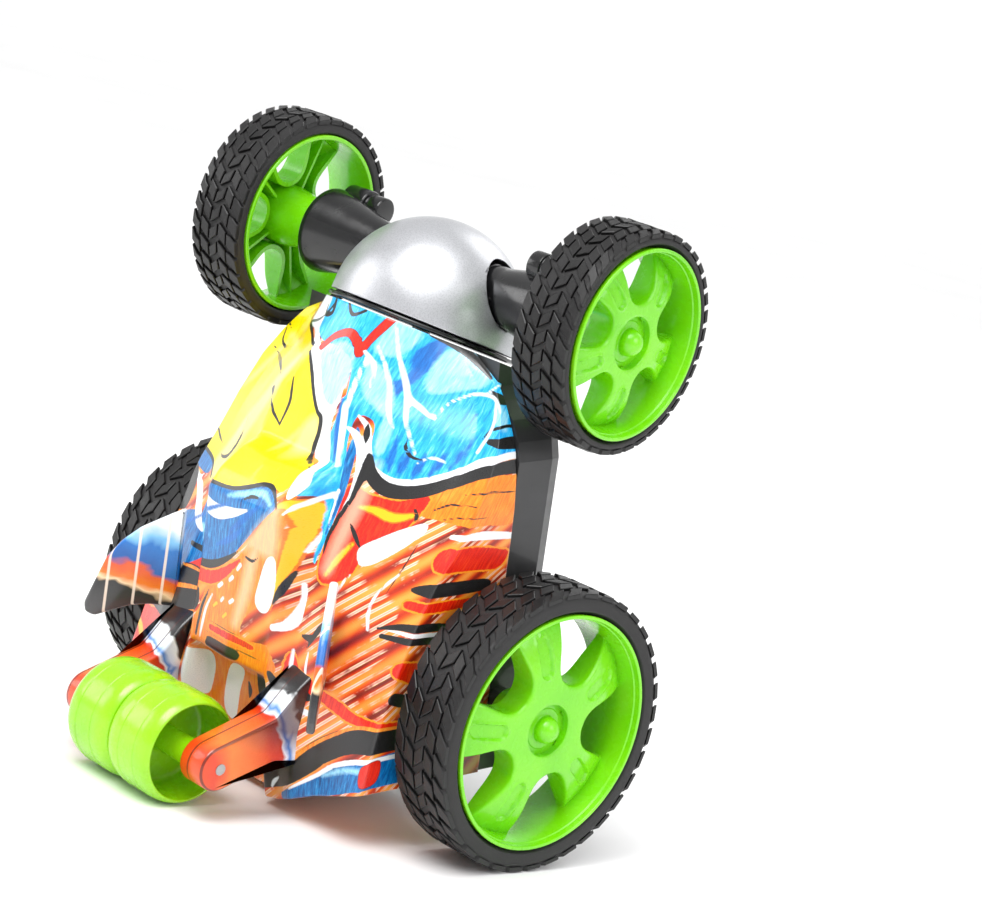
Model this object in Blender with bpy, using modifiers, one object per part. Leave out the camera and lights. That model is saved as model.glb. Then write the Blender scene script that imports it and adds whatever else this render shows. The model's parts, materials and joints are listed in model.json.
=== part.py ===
"""Small tumbling stunt car, modelled as it stands: tail down on its rear wheels and tail rollers.

Units are metres, +Z is up. The origin is on the ground below the middle of the car, and X runs
along the rear axle to the car's right. The car itself is laid out in its driving frame, under
the empty "car": X right, Y forward, Z up, with its origin in the middle of the rear axle.
The head, which holds the front axle, is laid out under the empty "head", with Y along its axis.
"""

from math import asin, atan2, cos, hypot, pi, radians, sin, sqrt, tan

import bmesh
import bpy
from mathutils import Matrix, Vector

MM = 0.001

# Stance
STAND_ANGLE = radians(97.38)
REAR_AXLE_Y = 23.4 * MM

# Rear wheels
REAR_TYRE_RADIUS = 38.0 * MM
REAR_TYRE_WIDTH = 18.6 * MM
REAR_RIM_RADIUS = 31.8 * MM
REAR_TRACK = 144.8 * MM

# Front wheels
FRONT_TYRE_RADIUS = 29.5 * MM
FRONT_TYRE_WIDTH = 16.7 * MM
FRONT_RIM_RADIUS = 25.3 * MM
FRONT_TRACK = 132.0 * MM
FRONT_RIM_PROUD = 0.6 * MM

# Wheel details shared by both sizes
SPOKES = 5
HUB_SINK = 2.0 * MM
WEB_BACK = 9.6 * MM
HUB_RADIUS = 7.0 * MM
CAP_RADIUS = 6.6 * MM
CAP_FLOOR = 5.0 * MM
BALL_RADIUS = 3.6 * MM
AXLE_RADIUS = 1.5 * MM
RIM_FACETS = 28
REAR_PHASE = {1: 28.9, -1: 15.0}
FRONT_PHASE = {1: -0.7, -1: 22.0}
TYRE_FACETS = 34

# Head: where the front axle crosses the head's axis, in the driving frame
HEAD_Y = 102.6 * MM
HEAD_Z = -8.5 * MM
HEAD_DIP = radians(19.5)
HEAD_TWIST = radians(7.23)
DOME_RADIUS = 26.2 * MM
DOME_CENTRE = 12.0 * MM
DOME_WALL = 1.5 * MM
DOME_EDGE = 14.3 * MM
BASE_THICKNESS = 1.4 * MM
BULKHEAD_FRONT = 16.7 * MM
BULKHEAD_THICKNESS = 2.2 * MM
HOUSING_WIDE_RADIUS = 11.7 * MM
HOUSING_NARROW_RADIUS = 7.2 * MM
HOUSING_WIDE_X = 43.0 * MM
HOUSING_NARROW_X = 22.0 * MM
HEAD_SHAFT_RADIUS = 3.0 * MM

# Tail rollers
ROLLER_RADIUS = 14.64 * MM
ROLLER_Y = -14.1 * MM
ROLLER_Z = 72.6 * MM
ROLLER_OUTER_X = 17.5 * MM
ARM_INNER_X = 20.2 * MM
ARM_OUTER_X = 29.5 * MM
ARM_END_RADIUS = 6.1 * MM

# Body
SHELL_WALL = 1.6 * MM
FOOT_TRIM = 1.2 * MM
SPLIT_Z = 4.0 * MM
TRAY_BOTTOM_Z = -13.5 * MM
TRAY_WALL = 1.8 * MM
TRAY_EDGE_RADIUS = 5.5 * MM
BODY_HALF_WIDTH = 51.2 * MM
TRAY_HALF_WIDTH = 50.0 * MM
GAP = 0.3 * MM

# Gear train of one rear wheel, seen along X: places of the axes as (y, z)
GEAR_X = 41.0 * MM
GEAR_WIDTH = 3.0 * MM
AXLE_GEAR_RADIUS = 10.0 * MM
COMPOUND_BIG_RADIUS = 9.0 * MM
COMPOUND_SMALL_RADIUS = 3.6 * MM
PINION_RADIUS = 3.0 * MM
COMPOUND_AXIS = (13.6 * MM, 2.8 * MM)
MOTOR_AXIS = (25.6 * MM, 5.6 * MM)
MOTOR_RADIUS = 7.6 * MM
MOTOR_LENGTH = 24.0 * MM

# Head drive
HEAD_GEAR_RADIUS = 10.5 * MM
HEAD_PINION_RADIUS = 3.2 * MM

# Screws
SCREW_HEAD_RADIUS = 2.5 * MM
SCREW_SHANK_RADIUS = 1.2 * MM
SCREW_PLACES = ((38.0 * MM, 50.0 * MM), (27.0 * MM, -19.5 * MM))

GREEN = (0.16, 0.72, 0.01)
BLACK = (0.012, 0.012, 0.013)
RUBBER = (0.02, 0.02, 0.021)
SILVER = (0.62, 0.63, 0.65)
STEEL = (0.6, 0.6, 0.6)
BRASS = (0.55, 0.38, 0.12)
WHITE_NYLON = (0.75, 0.75, 0.72)
PRINT_BLUE = (0.03, 0.42, 0.85)


# ---------------------------------------------------------------- scene helpers


def clear_scene():
    for obj in list(bpy.data.objects):
        bpy.data.objects.remove(obj, do_unlink=True)


def make_collection(name):
    collection = bpy.data.collections.new(name)
    bpy.context.scene.collection.children.link(collection)
    return collection


def make_material(name, colour, roughness=0.4, metallic=0.0):
    material = bpy.data.materials.new(name)
    material.use_nodes = True
    shader = material.node_tree.nodes["Principled BSDF"]
    shader.inputs["Base Color"].default_value = (*colour, 1.0)
    shader.inputs["Roughness"].default_value = roughness
    shader.inputs["Metallic"].default_value = metallic
    material.diffuse_color = (*colour, 1.0)
    return material


def add_object(name, mesh, material, parent, matrix=None, collection=None):
    obj = bpy.data.objects.new(name, mesh)
    (collection or PARTS).objects.link(obj)
    obj.parent = parent
    if matrix is not None:
        obj.matrix_local = matrix
    if material is not None and not mesh.materials:
        mesh.materials.append(material)
    return obj


def add_empty(name, parent, matrix):
    empty = bpy.data.objects.new(name, None)
    PARTS.objects.link(empty)
    empty.parent = parent
    empty.matrix_local = matrix
    empty.empty_display_size = 0.01
    return empty


def place(x=0.0, y=0.0, z=0.0, rotation=None):
    """A matrix that turns by rotation, then moves to (x, y, z)."""
    return Matrix.Translation((x, y, z)) @ (rotation or Matrix.Identity(4))


def outward(side):
    """Turns local Z to point along +X (side 1) or -X (side -1)."""
    return Matrix.Rotation(side * pi / 2, 4, "Y")


def round_shading(mesh, angle=35.0):
    mesh.shade_smooth()
    mesh.set_sharp_from_angle(angle=radians(angle))


# ---------------------------------------------------------------- shape helpers


def turned(name, profile, material, parent, matrix, segments=40, closed=True, collection=None):
    """A profile of (radius, height) points turned about local Z. A closed profile is a ring;
    an open one starts and ends on the axis. It runs down the outer side."""
    mesh = bpy.data.meshes.new(name)
    count = len(profile)
    edges = [(i, (i + 1) % count) for i in range(count if closed else count - 1)]
    mesh.from_pydata([(r, 0.0, z) for r, z in profile], edges, [])
    obj = add_object(name, mesh, material, parent, matrix, collection)
    screw = obj.modifiers.new("turn", "SCREW")
    screw.axis = "Z"
    screw.angle = 2 * pi
    screw.steps = segments
    screw.render_steps = segments
    screw.use_merge_vertices = True
    screw.merge_threshold = 0.00002
    screw.use_smooth_shade = True
    return obj


def baked(obj):
    """The same object with its modifiers or curve turned into a plain welded mesh."""
    bpy.context.view_layer.update()
    graph = bpy.context.evaluated_depsgraph_get()
    mesh = bpy.data.meshes.new_from_object(obj.evaluated_get(graph))
    shape = bmesh.new()
    shape.from_mesh(mesh)
    bmesh.ops.remove_doubles(shape, verts=shape.verts, dist=0.000005)
    bmesh.ops.recalc_face_normals(shape, faces=shape.faces)
    shape.to_mesh(mesh)
    shape.free()
    name = obj.name
    parent = obj.parent
    matrix = obj.matrix_local.copy()
    collection = obj.users_collection[0]
    bpy.data.objects.remove(obj, do_unlink=True)
    new = bpy.data.objects.new(name, mesh)
    collection.objects.link(new)
    new.parent = parent
    new.matrix_local = matrix
    return new


def plate(name, outline, thickness, material, parent, matrix, collection=None):
    """A flat outline of (x, y) points, thickness / 2 to each side of local Z = 0."""
    curve = bpy.data.curves.new(name, "CURVE")
    curve.dimensions = "2D"
    curve.fill_mode = "BOTH"
    curve.extrude = thickness / 2
    spline = curve.splines.new("POLY")
    spline.points.add(len(outline) - 1)
    for point, (x, y) in zip(spline.points, outline):
        point.co = (x, y, 0.0, 1.0)
    spline.use_cyclic_u = True
    if material is not None:
        curve.materials.append(material)
    obj = bpy.data.objects.new(name, curve)
    (collection or PARTS).objects.link(obj)
    obj.parent = parent
    obj.matrix_local = matrix
    return baked(obj)


def box(name, low, high, material, parent, bevel=0.0, collection=None):
    """A block between two corners of the parent's frame, with its edges rounded by bevel."""
    shape = bmesh.new()
    bmesh.ops.create_cube(shape, size=1.0)
    size = [h - l for l, h in zip(low, high)]
    bmesh.ops.scale(shape, vec=size, verts=shape.verts)
    mesh = bpy.data.meshes.new(name)
    shape.to_mesh(mesh)
    shape.free()
    middle = [(l + h) / 2 for l, h in zip(low, high)]
    obj = add_object(name, mesh, material, parent, place(*middle), collection)
    if bevel:
        rounding = obj.modifiers.new("edges", "BEVEL")
        rounding.width = bevel
        rounding.segments = 2
    return obj


def rod(name, radius, length, material, parent, matrix, segments=14, collection=None):
    """A cylinder along local Z, from Z = 0 to Z = length."""
    profile = [(0.0, length), (radius, length), (radius, 0.0), (0.0, 0.0)]
    return turned(name, profile, material, parent, matrix, segments, False, collection)


def combine(target, other, operation):
    """Adds a Boolean to target. The other shape becomes a hidden helper."""
    if other.name not in HELPERS.objects:
        for collection in list(other.users_collection):
            collection.objects.unlink(other)
        HELPERS.objects.link(other)
    other.hide_render = True
    other.display_type = "WIRE"
    modifier = target.modifiers.new(operation.lower(), "BOOLEAN")
    modifier.operation = operation
    modifier.object = other
    modifier.solver = "EXACT"
    return target


def cut(target, *others):
    for other in others:
        combine(target, other, "DIFFERENCE")


def join(target, *others):
    for other in others:
        combine(target, other, "UNION")


def arc(centre, radius, start, end, steps):
    """Points on an arc from start to end, in degrees."""
    angles = [radians(start + (end - start) * i / steps) for i in range(steps + 1)]
    return [(centre[0] + radius * cos(a), centre[1] + radius * sin(a)) for a in angles]


def reading(table, y):
    """Straight-line reading of rows (y, value...), which run from the front to the back."""
    if y >= table[0][0]:
        return table[0][1:]
    for before, after in zip(table, table[1:]):
        if after[0] <= y <= before[0]:
            share = (before[0] - y) / (before[0] - after[0])
            return tuple(b + (a - b) * share for b, a in zip(before[1:], after[1:]))
    return table[-1][1:]


# ---------------------------------------------------------------- wheels


def rim_window(rim_radius):
    """Outline of one opening between two spokes, pointing along +X: round at its inner end,
    with sides that open outwards."""
    size = rim_radius / REAR_RIM_RADIUS
    outer = rim_radius - 2.0 * MM
    inner_end = arc((18.7 * size * MM, 0), 5.9 * size * MM, 76, 284, 6)
    return arc((0, 0), outer, -20, 20, 3) + inner_end


def make_rim(name, rim_radius, width, parent, side, phase, boss_start):
    """A one-piece spoked rim. Local Z points outwards and Z = 0 is the tyre's inner face."""
    size = rim_radius / REAR_RIM_RADIUS
    barrel = [
        (rim_radius - 1.0 * MM, width),
        (rim_radius, width),
        (rim_radius, width - 1.2 * MM),
        (rim_radius - 0.5 * MM, width - 1.7 * MM),
        (rim_radius - 0.5 * MM, 0.0),
        (rim_radius - 1.7 * MM, 0.0),
        (rim_radius - 2.4 * MM, width - 10.0 * MM),
        (rim_radius - 2.4 * MM, width - 7.5 * MM),
    ]
    top = width - HUB_SINK
    bottom = width - WEB_BACK
    web = [
        (AXLE_RADIUS + 0.1 * MM, width - CAP_FLOOR),
        (HUB_RADIUS - 0.1 * MM, width - CAP_FLOOR),
        (HUB_RADIUS, top),
        (14.0 * size * MM, top),
        (21.0 * size * MM, top - 0.9 * MM),
        (26.0 * size * MM, top - 2.4 * MM),
        (rim_radius - 2.6 * MM, top - 4.8 * MM),
        (rim_radius - 1.4 * MM, top - 5.2 * MM),
        (rim_radius - 1.4 * MM, bottom),
        (7.0 * MM, bottom),
        (6.2 * MM, boss_start),
        (AXLE_RADIUS + 0.1 * MM, boss_start),
    ]
    facing = outward(side)
    rim = turned(name, barrel, MAT["green"], parent, facing, RIM_FACETS)
    spider = turned(name + "_web", web, MAT["green"], parent, facing, 20, True, HELPERS)
    outline = rim_window(rim_radius)
    for i in range(SPOKES):
        turn = Matrix.Rotation(radians(phase) + 2 * pi * (i + 0.5) / SPOKES, 4, "Z")
        spot = facing @ turn @ Matrix.Translation((0, 0, width - 6 * MM))
        window = plate(f"{name}_window_{i}", outline, 14 * MM, None, parent, spot, HELPERS)
        cut(spider, window)
    join(rim, spider)
    return rim


def make_tyre(name, radius, rim_radius, width, parent, side):
    """The tyre of a rim made by make_rim, in the same local frame."""
    seat = rim_radius - 0.5 * MM + GAP
    profile = [
        (rim_radius + GAP, width),
        (radius - 0.9 * MM, width),
        (radius, width - 1.0 * MM),
        (radius, 1.0 * MM),
        (radius - 0.9 * MM, 0.0),
        (seat, 0.0),
        (seat, width - 2.1 * MM),
        (rim_radius + GAP, width - 1.5 * MM),
    ]
    return turned(name, profile, MAT["rubber"], parent, outward(side), TYRE_FACETS)


def make_cap(name, width, parent, side):
    """The cap with a ball in its middle, which fills the hub's recess and hides the axle."""
    floor = width - CAP_FLOOR + GAP
    neck = floor + 1.5 * MM
    angles = [radians(a) for a in (0, 30, 60, 90)]
    profile = [(BALL_RADIUS * sin(a), neck + BALL_RADIUS * cos(a)) for a in angles]
    profile += [(BALL_RADIUS, floor + 0.8 * MM), (CAP_RADIUS, floor + 0.8 * MM)]
    profile += [(CAP_RADIUS, floor), (0.0, floor)]
    return turned(name, profile, MAT["green"], parent, outward(side), 14, False)


def make_wheel(prefix, side_name, side, parent, track, radius, rim_radius, width, proud, phase,
               boss_start):
    """One wheel under an empty on its axle, with local Z = 0 at the tyre's inner face. Its
    hub boss starts at boss_start."""
    inner_x = side * (track / 2 - width)
    hub = add_empty(f"{prefix}_wheel_{side_name}", parent, place(inner_x))
    make_rim(f"{prefix}_rim_{side_name}", rim_radius, width + proud, hub, side, phase, boss_start)
    make_tyre(f"{prefix}_tyre_{side_name}", radius, rim_radius, width, hub, side)
    make_cap(f"{prefix}_hub_cap_{side_name}", width + proud, hub, side)
    return hub


# ---------------------------------------------------------------- gears and motors


def gear_outline(tip_radius, teeth, depth):
    """A ring of straight-flanked teeth."""
    points = []
    pitch = 360.0 / teeth
    for i in range(teeth):
        for part, radius in ((0.0, tip_radius - depth), (0.3, tip_radius), (0.7, tip_radius)):
            angle = radians((i + part) * pitch)
            points.append((radius * cos(angle), radius * sin(angle)))
    return points


def make_gear(name, tip_radius, teeth, width, bore, material, parent, matrix):
    gear = plate(name, gear_outline(tip_radius, teeth, 1.0 * MM), width, material, parent, matrix)
    hole_spot = matrix @ Matrix.Translation((0, 0, -width))
    hole = rod(name + "_bore", bore, 2 * width, None, parent, hole_spot, 12, HELPERS)
    cut(gear, hole)
    return gear


def make_motor(name, parent, matrix, shaft_length):
    """A small can motor. Local Z points out of its shaft end, and Z = 0 is that end face."""
    profile = [
        (0.0, shaft_length),
        (0.9 * MM, shaft_length),
        (0.9 * MM, 1.2 * MM),
        (3.0 * MM, 1.2 * MM),
        (3.0 * MM, 0.0),
        (MOTOR_RADIUS - 0.6 * MM, 0.0),
        (MOTOR_RADIUS, -0.6 * MM),
        (MOTOR_RADIUS, -MOTOR_LENGTH + 0.6 * MM),
        (MOTOR_RADIUS - 0.6 * MM, -MOTOR_LENGTH),
        (0.0, -MOTOR_LENGTH),
    ]
    return turned(name, profile, MAT["steel"], parent, matrix, 14, False)


def make_drive(side_name, side):
    """Motor, gear train and axle of one rear wheel."""
    facing = outward(side)
    shaft_gap = 0.15 * MM
    axle_start = 36.5 * MM
    axle_end = REAR_TRACK / 2 - CAP_FLOOR - GAP
    rod(
        f"rear_axle_{side_name}",
        AXLE_RADIUS,
        axle_end - axle_start,
        MAT["steel"],
        CAR,
        place(side * axle_start, rotation=facing),
    )
    make_gear(
        f"axle_gear_{side_name}",
        AXLE_GEAR_RADIUS,
        20,
        GEAR_WIDTH,
        AXLE_RADIUS + shaft_gap,
        MAT["nylon"],
        CAR,
        place(side * (GEAR_X + 3.6 * MM), rotation=facing),
    )
    y, z = COMPOUND_AXIS
    spot = place(side * GEAR_X, y, z, facing)
    small_length = 5.4 * MM
    big = make_gear(
        f"compound_gear_{side_name}",
        COMPOUND_BIG_RADIUS,
        18,
        1.8 * MM,
        1.0 * MM,
        MAT["nylon"],
        CAR,
        spot @ Matrix.Translation((0, 0, -0.9 * MM)),
    )
    small_outline = gear_outline(COMPOUND_SMALL_RADIUS, 8, 0.8 * MM)
    small_spot = spot @ Matrix.Translation((0, 0, small_length / 2 - 0.2 * MM))
    small = plate("compound_small_" + side_name, small_outline, small_length, None, CAR, small_spot)
    hole_spot = spot @ Matrix.Translation((0, 0, -1.0 * MM))
    hole = rod("small_bore_" + side_name, 1.0 * MM, 12 * MM, None, CAR, hole_spot, 12, HELPERS)
    cut(small, hole)
    join(big, small)
    rod(
        f"gear_pin_{side_name}",
        0.8 * MM,
        11.0 * MM,
        MAT["steel"],
        CAR,
        place(side * (GEAR_X - 4.6 * MM), y, z, facing),
        12,
    )
    y, z = MOTOR_AXIS
    motor_face = 34.0 * MM
    make_motor(
        f"drive_motor_{side_name}", CAR, place(side * motor_face, y, z, facing), 8.0 * MM
    )
    make_gear(
        f"motor_pinion_{side_name}",
        PINION_RADIUS,
        8,
        3.0 * MM,
        0.9 * MM + shaft_gap,
        MAT["brass"],
        CAR,
        place(side * (GEAR_X - 0.9 * MM), y, z, facing),
    )
    make_gear_frame(side_name, side, motor_face)


def make_gear_frame(side_name, side, motor_face):
    """The plastic frame that the motor, the gear pin and the axle's inner end sit in."""
    near = motor_face + GAP + 1.2 * MM
    far = near + 1.6 * MM
    low = (min(side * near, side * far), -11.0 * MM, TRAY_BOTTOM_Z + TRAY_WALL + GAP)
    high = (max(side * near, side * far), 34.0 * MM, 14.0 * MM)
    frame = box(f"gear_frame_{side_name}", low, high, MAT["grey"], CAR)
    facing = outward(side)
    start = side * (near - 2 * MM)
    spots = (
        ((0.0, 0.0), AXLE_RADIUS + 0.15 * MM),
        (COMPOUND_AXIS, 0.9 * MM + 0.1 * MM),
        (MOTOR_AXIS, 3.2 * MM),
    )
    for i, ((y, z), radius) in enumerate(spots):
        hole = rod(
            f"frame_hole_{side_name}_{i}",
            radius,
            6 * MM,
            None,
            CAR,
            place(start, y, z, facing),
            12,
            HELPERS,
        )
        cut(frame, hole)
    return frame


# ---------------------------------------------------------------- body shell

# Feature lines of the right half of the shell, front to back, in millimetres of the driving
# frame: (y, x, z). The shell is lofted between them.
CENTRE_LINE = ((84, 28.5), (72, 32.0), (60, 35.2), (57.6, 36.2), (56, 44.5), (50, 49.6), (45, 51.8),
               (24, 51.0), (2, 50.8), (0, 44.6), (-31, 41.0))
HOOD_LINE = ((84, 3.0, 28.6), (72, 8.0, 32.0), (60, 12.0, 34.2), (57.6, 12.6, 34.6),
             (56, 13.2, 42.0), (50, 13.8, 48.4), (45, 14.2, 50.8), (24, 14.2, 49.8),
             (2, 14.2, 49.6), (0, 14.2, 44.4), (-31, 14.2, 40.8))
RIB_LINE = ((84, 4.4, 28.6), (72, 10.4, 32.2), (60, 14.4, 34.4), (57.6, 15.0, 34.9),
            (56, 15.2, 38.4), (50, 15.4, 46.4), (45, 15.6, 50.0), (24, 15.8, 49.6),
            (2, 16.0, 50.2), (0, 16.2, 50.3), (-14, 17.2, 50.6), (-31, 17.6, 46.8))
RIDGE_LINE = ((84, 6.5, 28.3), (72, 12.8, 32.0), (60, 16.2, 33.8), (51, 16.8, 35.2),
              (39, 18.0, 39.0), (30.5, 19.0, 41.0), (19.7, 20.0, 43.4), (4, 21.2, 45.8),
              (-8, 22.0, 48.6), (-31, 22.4, 46.4))
SHOULDER_LINE = ((84, 33.0, 7.2), (76, 37.6, 8.6), (70, 40.6, 11.6), (60, 42.0, 17.6),
                 (54.7, 41.8, 21.2), (38.7, 40.2, 30.8), (25, 38.2, 38.4), (14, 36.4, 42.4),
                 (4, 35.2, 45.0), (-10, 35.0, 46.8), (-25, 35.0, 46.2))
EDGE_LINE = ((84, 38.2, 4.9), (77.5, 43.8, 6.4), (69.3, 48.0, 9.8), (58.4, 50.2, 14.8),
             (48, 50.9, 20.0), (40, 50.8, 25.2), (36, 50.5, 27.4), (26, 50.0, 31.4),
             (12, 49.6, 35.8), (-2, 49.8, 40.2), (-19, 50.4, 44.8))
FOOT_LINE = ((84, 38.8), (80, 42.2), (76, 44.8), (72, 46.9), (68, 48.6), (62, 50.0), (54, 50.9),
             (44, 51.2), (-19, 51.2))
STATIONS = (84, 80, 76, 72, 66, 60, 57.6, 56, 53, 50, 45, 38, 31, 24, 17, 10, 2, 0, -8, -14)
# The tail in plan, from the middle out: (x, y)
TAIL = ((0, -31), (14.2, -31), (17.6, -30.6), (22.4, -29.6), (28.4, -27.0), (35, -23.8),
        (50.4, -18.2))


def head_plane_y(z, behind):
    """Y of the plane that lies square to the head's axis, behind the front axle by behind."""
    return HEAD_Y - behind / cos(HEAD_DIP) + (z - HEAD_Z) * tan(HEAD_DIP)


def front_arch_row():
    """The shell's front edge: an arch round the head, which flattens towards its feet."""
    behind = BULKHEAD_FRONT
    arch_radius = DOME_RADIUS + 0.6 * MM
    axis_z = HEAD_Z + behind * sin(HEAD_DIP)
    row = []
    for x in (0.0, 3.6, 5.6, 9.0, 18.5):
        rise = sqrt(arch_radius**2 - (x * MM) ** 2) * cos(HEAD_DIP)
        row.append((x * MM, head_plane_y(axis_z + rise, behind), axis_z + rise))
    for x, z in ((25.0, 7.8), (27.5, 5.2), (28.9, (SPLIT_Z - FOOT_TRIM) / MM)):
        row.append((x * MM, head_plane_y(z * MM, behind), z * MM))
    return row


def shell_row(y):
    """The right half of one cross-section, from the middle to the foot."""
    centre = reading(CENTRE_LINE, y)
    hood = reading(HOOD_LINE, y)
    rib = reading(RIB_LINE, y)
    ridge = reading(RIDGE_LINE, y)
    shoulder = reading(SHOULDER_LINE, y)
    edge = reading(EDGE_LINE, y)
    foot = reading(FOOT_LINE, y)
    crown = ((ridge[0] + shoulder[0]) / 2, (ridge[1] + shoulder[1]) / 2 + 1.4)
    low = (foot[0], (SPLIT_Z - FOOT_TRIM) / MM)
    points = [(0.0, centre[0]), hood, rib, ridge, crown, shoulder, edge, low]
    return [(x * MM, y * MM, z * MM) for x, z in points]


def tail_rows():
    """The roof's back edge, and the foot of the back wall below it."""
    top = []
    for x, y in TAIL:
        row = shell_row(y)
        xs = [point[0] for point in row[:7]]
        nearest = min(range(7), key=lambda i: abs(xs[i] - x * MM))
        top.append((x * MM, y * MM, row[nearest][2]))
    low = SPLIT_Z - FOOT_TRIM
    corner = (TAIL[-1][0] * MM + 0.8 * MM, TAIL[-1][1] * MM + 0.29 * MM, low)
    foot = [(x * MM, y * MM, low) for x, y in TAIL[:-1]] + [corner]
    return top + [corner], foot


def make_shell_skin():
    """The shell as an open half surface, mirrored and given its wall thickness."""
    rows = [front_arch_row()] + [shell_row(y) for y in STATIONS]
    top, foot = tail_rows()
    rows.append(top)
    shape = bmesh.new()
    grid = [[shape.verts.new(point) for point in row] for row in rows]
    for near, far in zip(grid, grid[1:]):
        for i in range(len(near) - 1):
            shape.faces.new((near[i], near[i + 1], far[i + 1], far[i]))
    last = grid[-1]
    below = [shape.verts.new(point) for point in foot[:-1]] + [last[-1]]
    for i in range(len(below) - 1):
        shape.faces.new((last[i], last[i + 1], below[i + 1], below[i]))
    bmesh.ops.recalc_face_normals(shape, faces=shape.faces)
    shape.normal_update()
    if shape.faces[0].normal.z < 0:
        bmesh.ops.reverse_faces(shape, faces=shape.faces)
    mesh = bpy.data.meshes.new("body_shell")
    shape.to_mesh(mesh)
    shape.free()
    shell = add_object("body_shell", mesh, MAT["print"], CAR)
    mirror = shell.modifiers.new("halves", "MIRROR")
    mirror.use_axis = (True, False, False)
    mirror.use_mirror_merge = True
    mirror.merge_threshold = 0.00005
    wall = shell.modifiers.new("wall", "SOLIDIFY")
    wall.thickness = SHELL_WALL
    wall.offset = -1.0
    wall.use_even_offset = True
    wall.thickness_clamp = 0.0
    shell.modifiers.new("facets", "TRIANGULATE")
    return shell


def arm_outline():
    """A tail arm seen from the side: (y, z) round the roller's axis and down into the roof."""
    lean = atan2(5.1, 17.8)
    across = (cos(lean), sin(lean))
    centre = (ROLLER_Y, ROLLER_Z)
    tip = arc(centre, ARM_END_RADIUS, lean * 180 / pi, lean * 180 / pi + 180, 8)
    front = (centre[0] + across[0] * ARM_END_RADIUS, centre[1] + across[1] * ARM_END_RADIUS)
    front_low = (front[0] + 19 * MM * sin(lean), front[1] - 19 * MM * cos(lean))
    return [(9 * MM, 43.1 * MM), (4.0 * MM, 49.5 * MM), front_low] + tip + [
        (-15.6 * MM, 55.5 * MM),
        (-17.3 * MM, 43.7 * MM),
    ]


def fin_outline():
    """A tail fin in its own plane: (y, height) from its root on the roof."""
    points = ((33, -2.2), (31, 1.4), (29, 4.6), (26, 9.4), (21.5, 14.2), (16.3, 17.8), (9, 20.4),
              (2.9, 22.5), (0.4, 22.0), (-0.4, 19.4), (1.3, 15.8), (4.0, 10.0), (5.0, 5.0),
              (5.4, -2.2))
    return [(y * MM, h * MM) for y, h in points]


def make_shell():
    shell = make_shell_skin()
    below = box("shell_foot_trim", (-90 * MM, -90 * MM, -40 * MM), (90 * MM, 130 * MM, SPLIT_Z),
                None, CAR, collection=HELPERS)
    cut(shell, below)
    upright = Matrix(((0, 0, 1, 0), (1, 0, 0, 0), (0, 1, 0, 0), (0, 0, 0, 1)))
    for side_name, side in SIDES:
        middle = side * (ARM_INNER_X + ARM_OUTER_X) / 2
        thick = ARM_OUTER_X - ARM_INNER_X
        arm = plate("arm_" + side_name, arm_outline(), thick, None, CAR, place(middle, rotation=upright))
        join(shell, arm)
        slope = Matrix(
            (
                (0, side * sin(pi / 4), sin(pi / 4), 0),
                (1, 0, 0, 0),
                (0, cos(pi / 4), -side * cos(pi / 4), 0),
                (0, 0, 0, 1),
            )
        )
        spot = place(side * 32.4 * MM, 0.0, 45.4 * MM, slope)
        fin = plate("fin_" + side_name, fin_outline(), 2.2 * MM, None, CAR, spot)
        join(shell, fin)
    for side_name, side in SIDES:
        for i, (x, y) in enumerate(SCREW_PLACES):
            low = TRAY_BOTTOM_Z + 5.2 * MM
            height = (47.3 if i else 24.0) * MM - low
            spot = place(side * x, y, low)
            post = rod(f"post_{side_name}_{i}", 2.8 * MM, height, None, CAR, spot, 12, HELPERS)
            join(shell, post)
            hole_spot = place(side * x, y, low - 1 * MM)
            hole_radius = SCREW_SHANK_RADIUS + 0.1 * MM
            hole = rod(f"post_hole_{side_name}_{i}", hole_radius, 11 * MM, None, CAR, hole_spot, 8, HELPERS)
            cut(shell, hole)
    pin_spot = place(-ARM_OUTER_X - 2 * MM, ROLLER_Y, ROLLER_Z, outward(1))
    length = 2 * ARM_OUTER_X + 4 * MM
    pin_hole = rod("pin_hole", AXLE_RADIUS + 0.08 * MM, length, None, CAR, pin_spot, 14, HELPERS)
    cut(shell, pin_hole)
    return shell


# ---------------------------------------------------------------- chassis


def tray_outline(inset):
    """The tray in plan, drawn inset from its outer wall, as (x, y) points of its right half
    and their mirror images."""
    half = [
        (TRAY_HALF_WIDTH - inset, -18.0 * MM + inset),
        (TRAY_HALF_WIDTH - inset, 66.0 * MM),
        (48.6 * MM - inset, 71.0 * MM),
        (45.4 * MM - inset, 76.0 * MM),
        (41.0 * MM - inset, 80.0 * MM),
        (38.4 * MM - inset, 83.0 * MM),
        (37.4 * MM - inset, 99.0 * MM),
    ]
    tail = [(23.0 * MM, -29.2 * MM + inset)]
    right = tail + half
    return right + [(-x, y) for x, y in reversed(right)]


def head_frame_block(name, start, end, half_width, low, high):
    """A block in the head's own axes, from start to end behind the front axle."""
    return box(name, (-half_width, -end, low), (half_width, -start, high), None, HEAD_AXES,
               collection=HELPERS)


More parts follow.
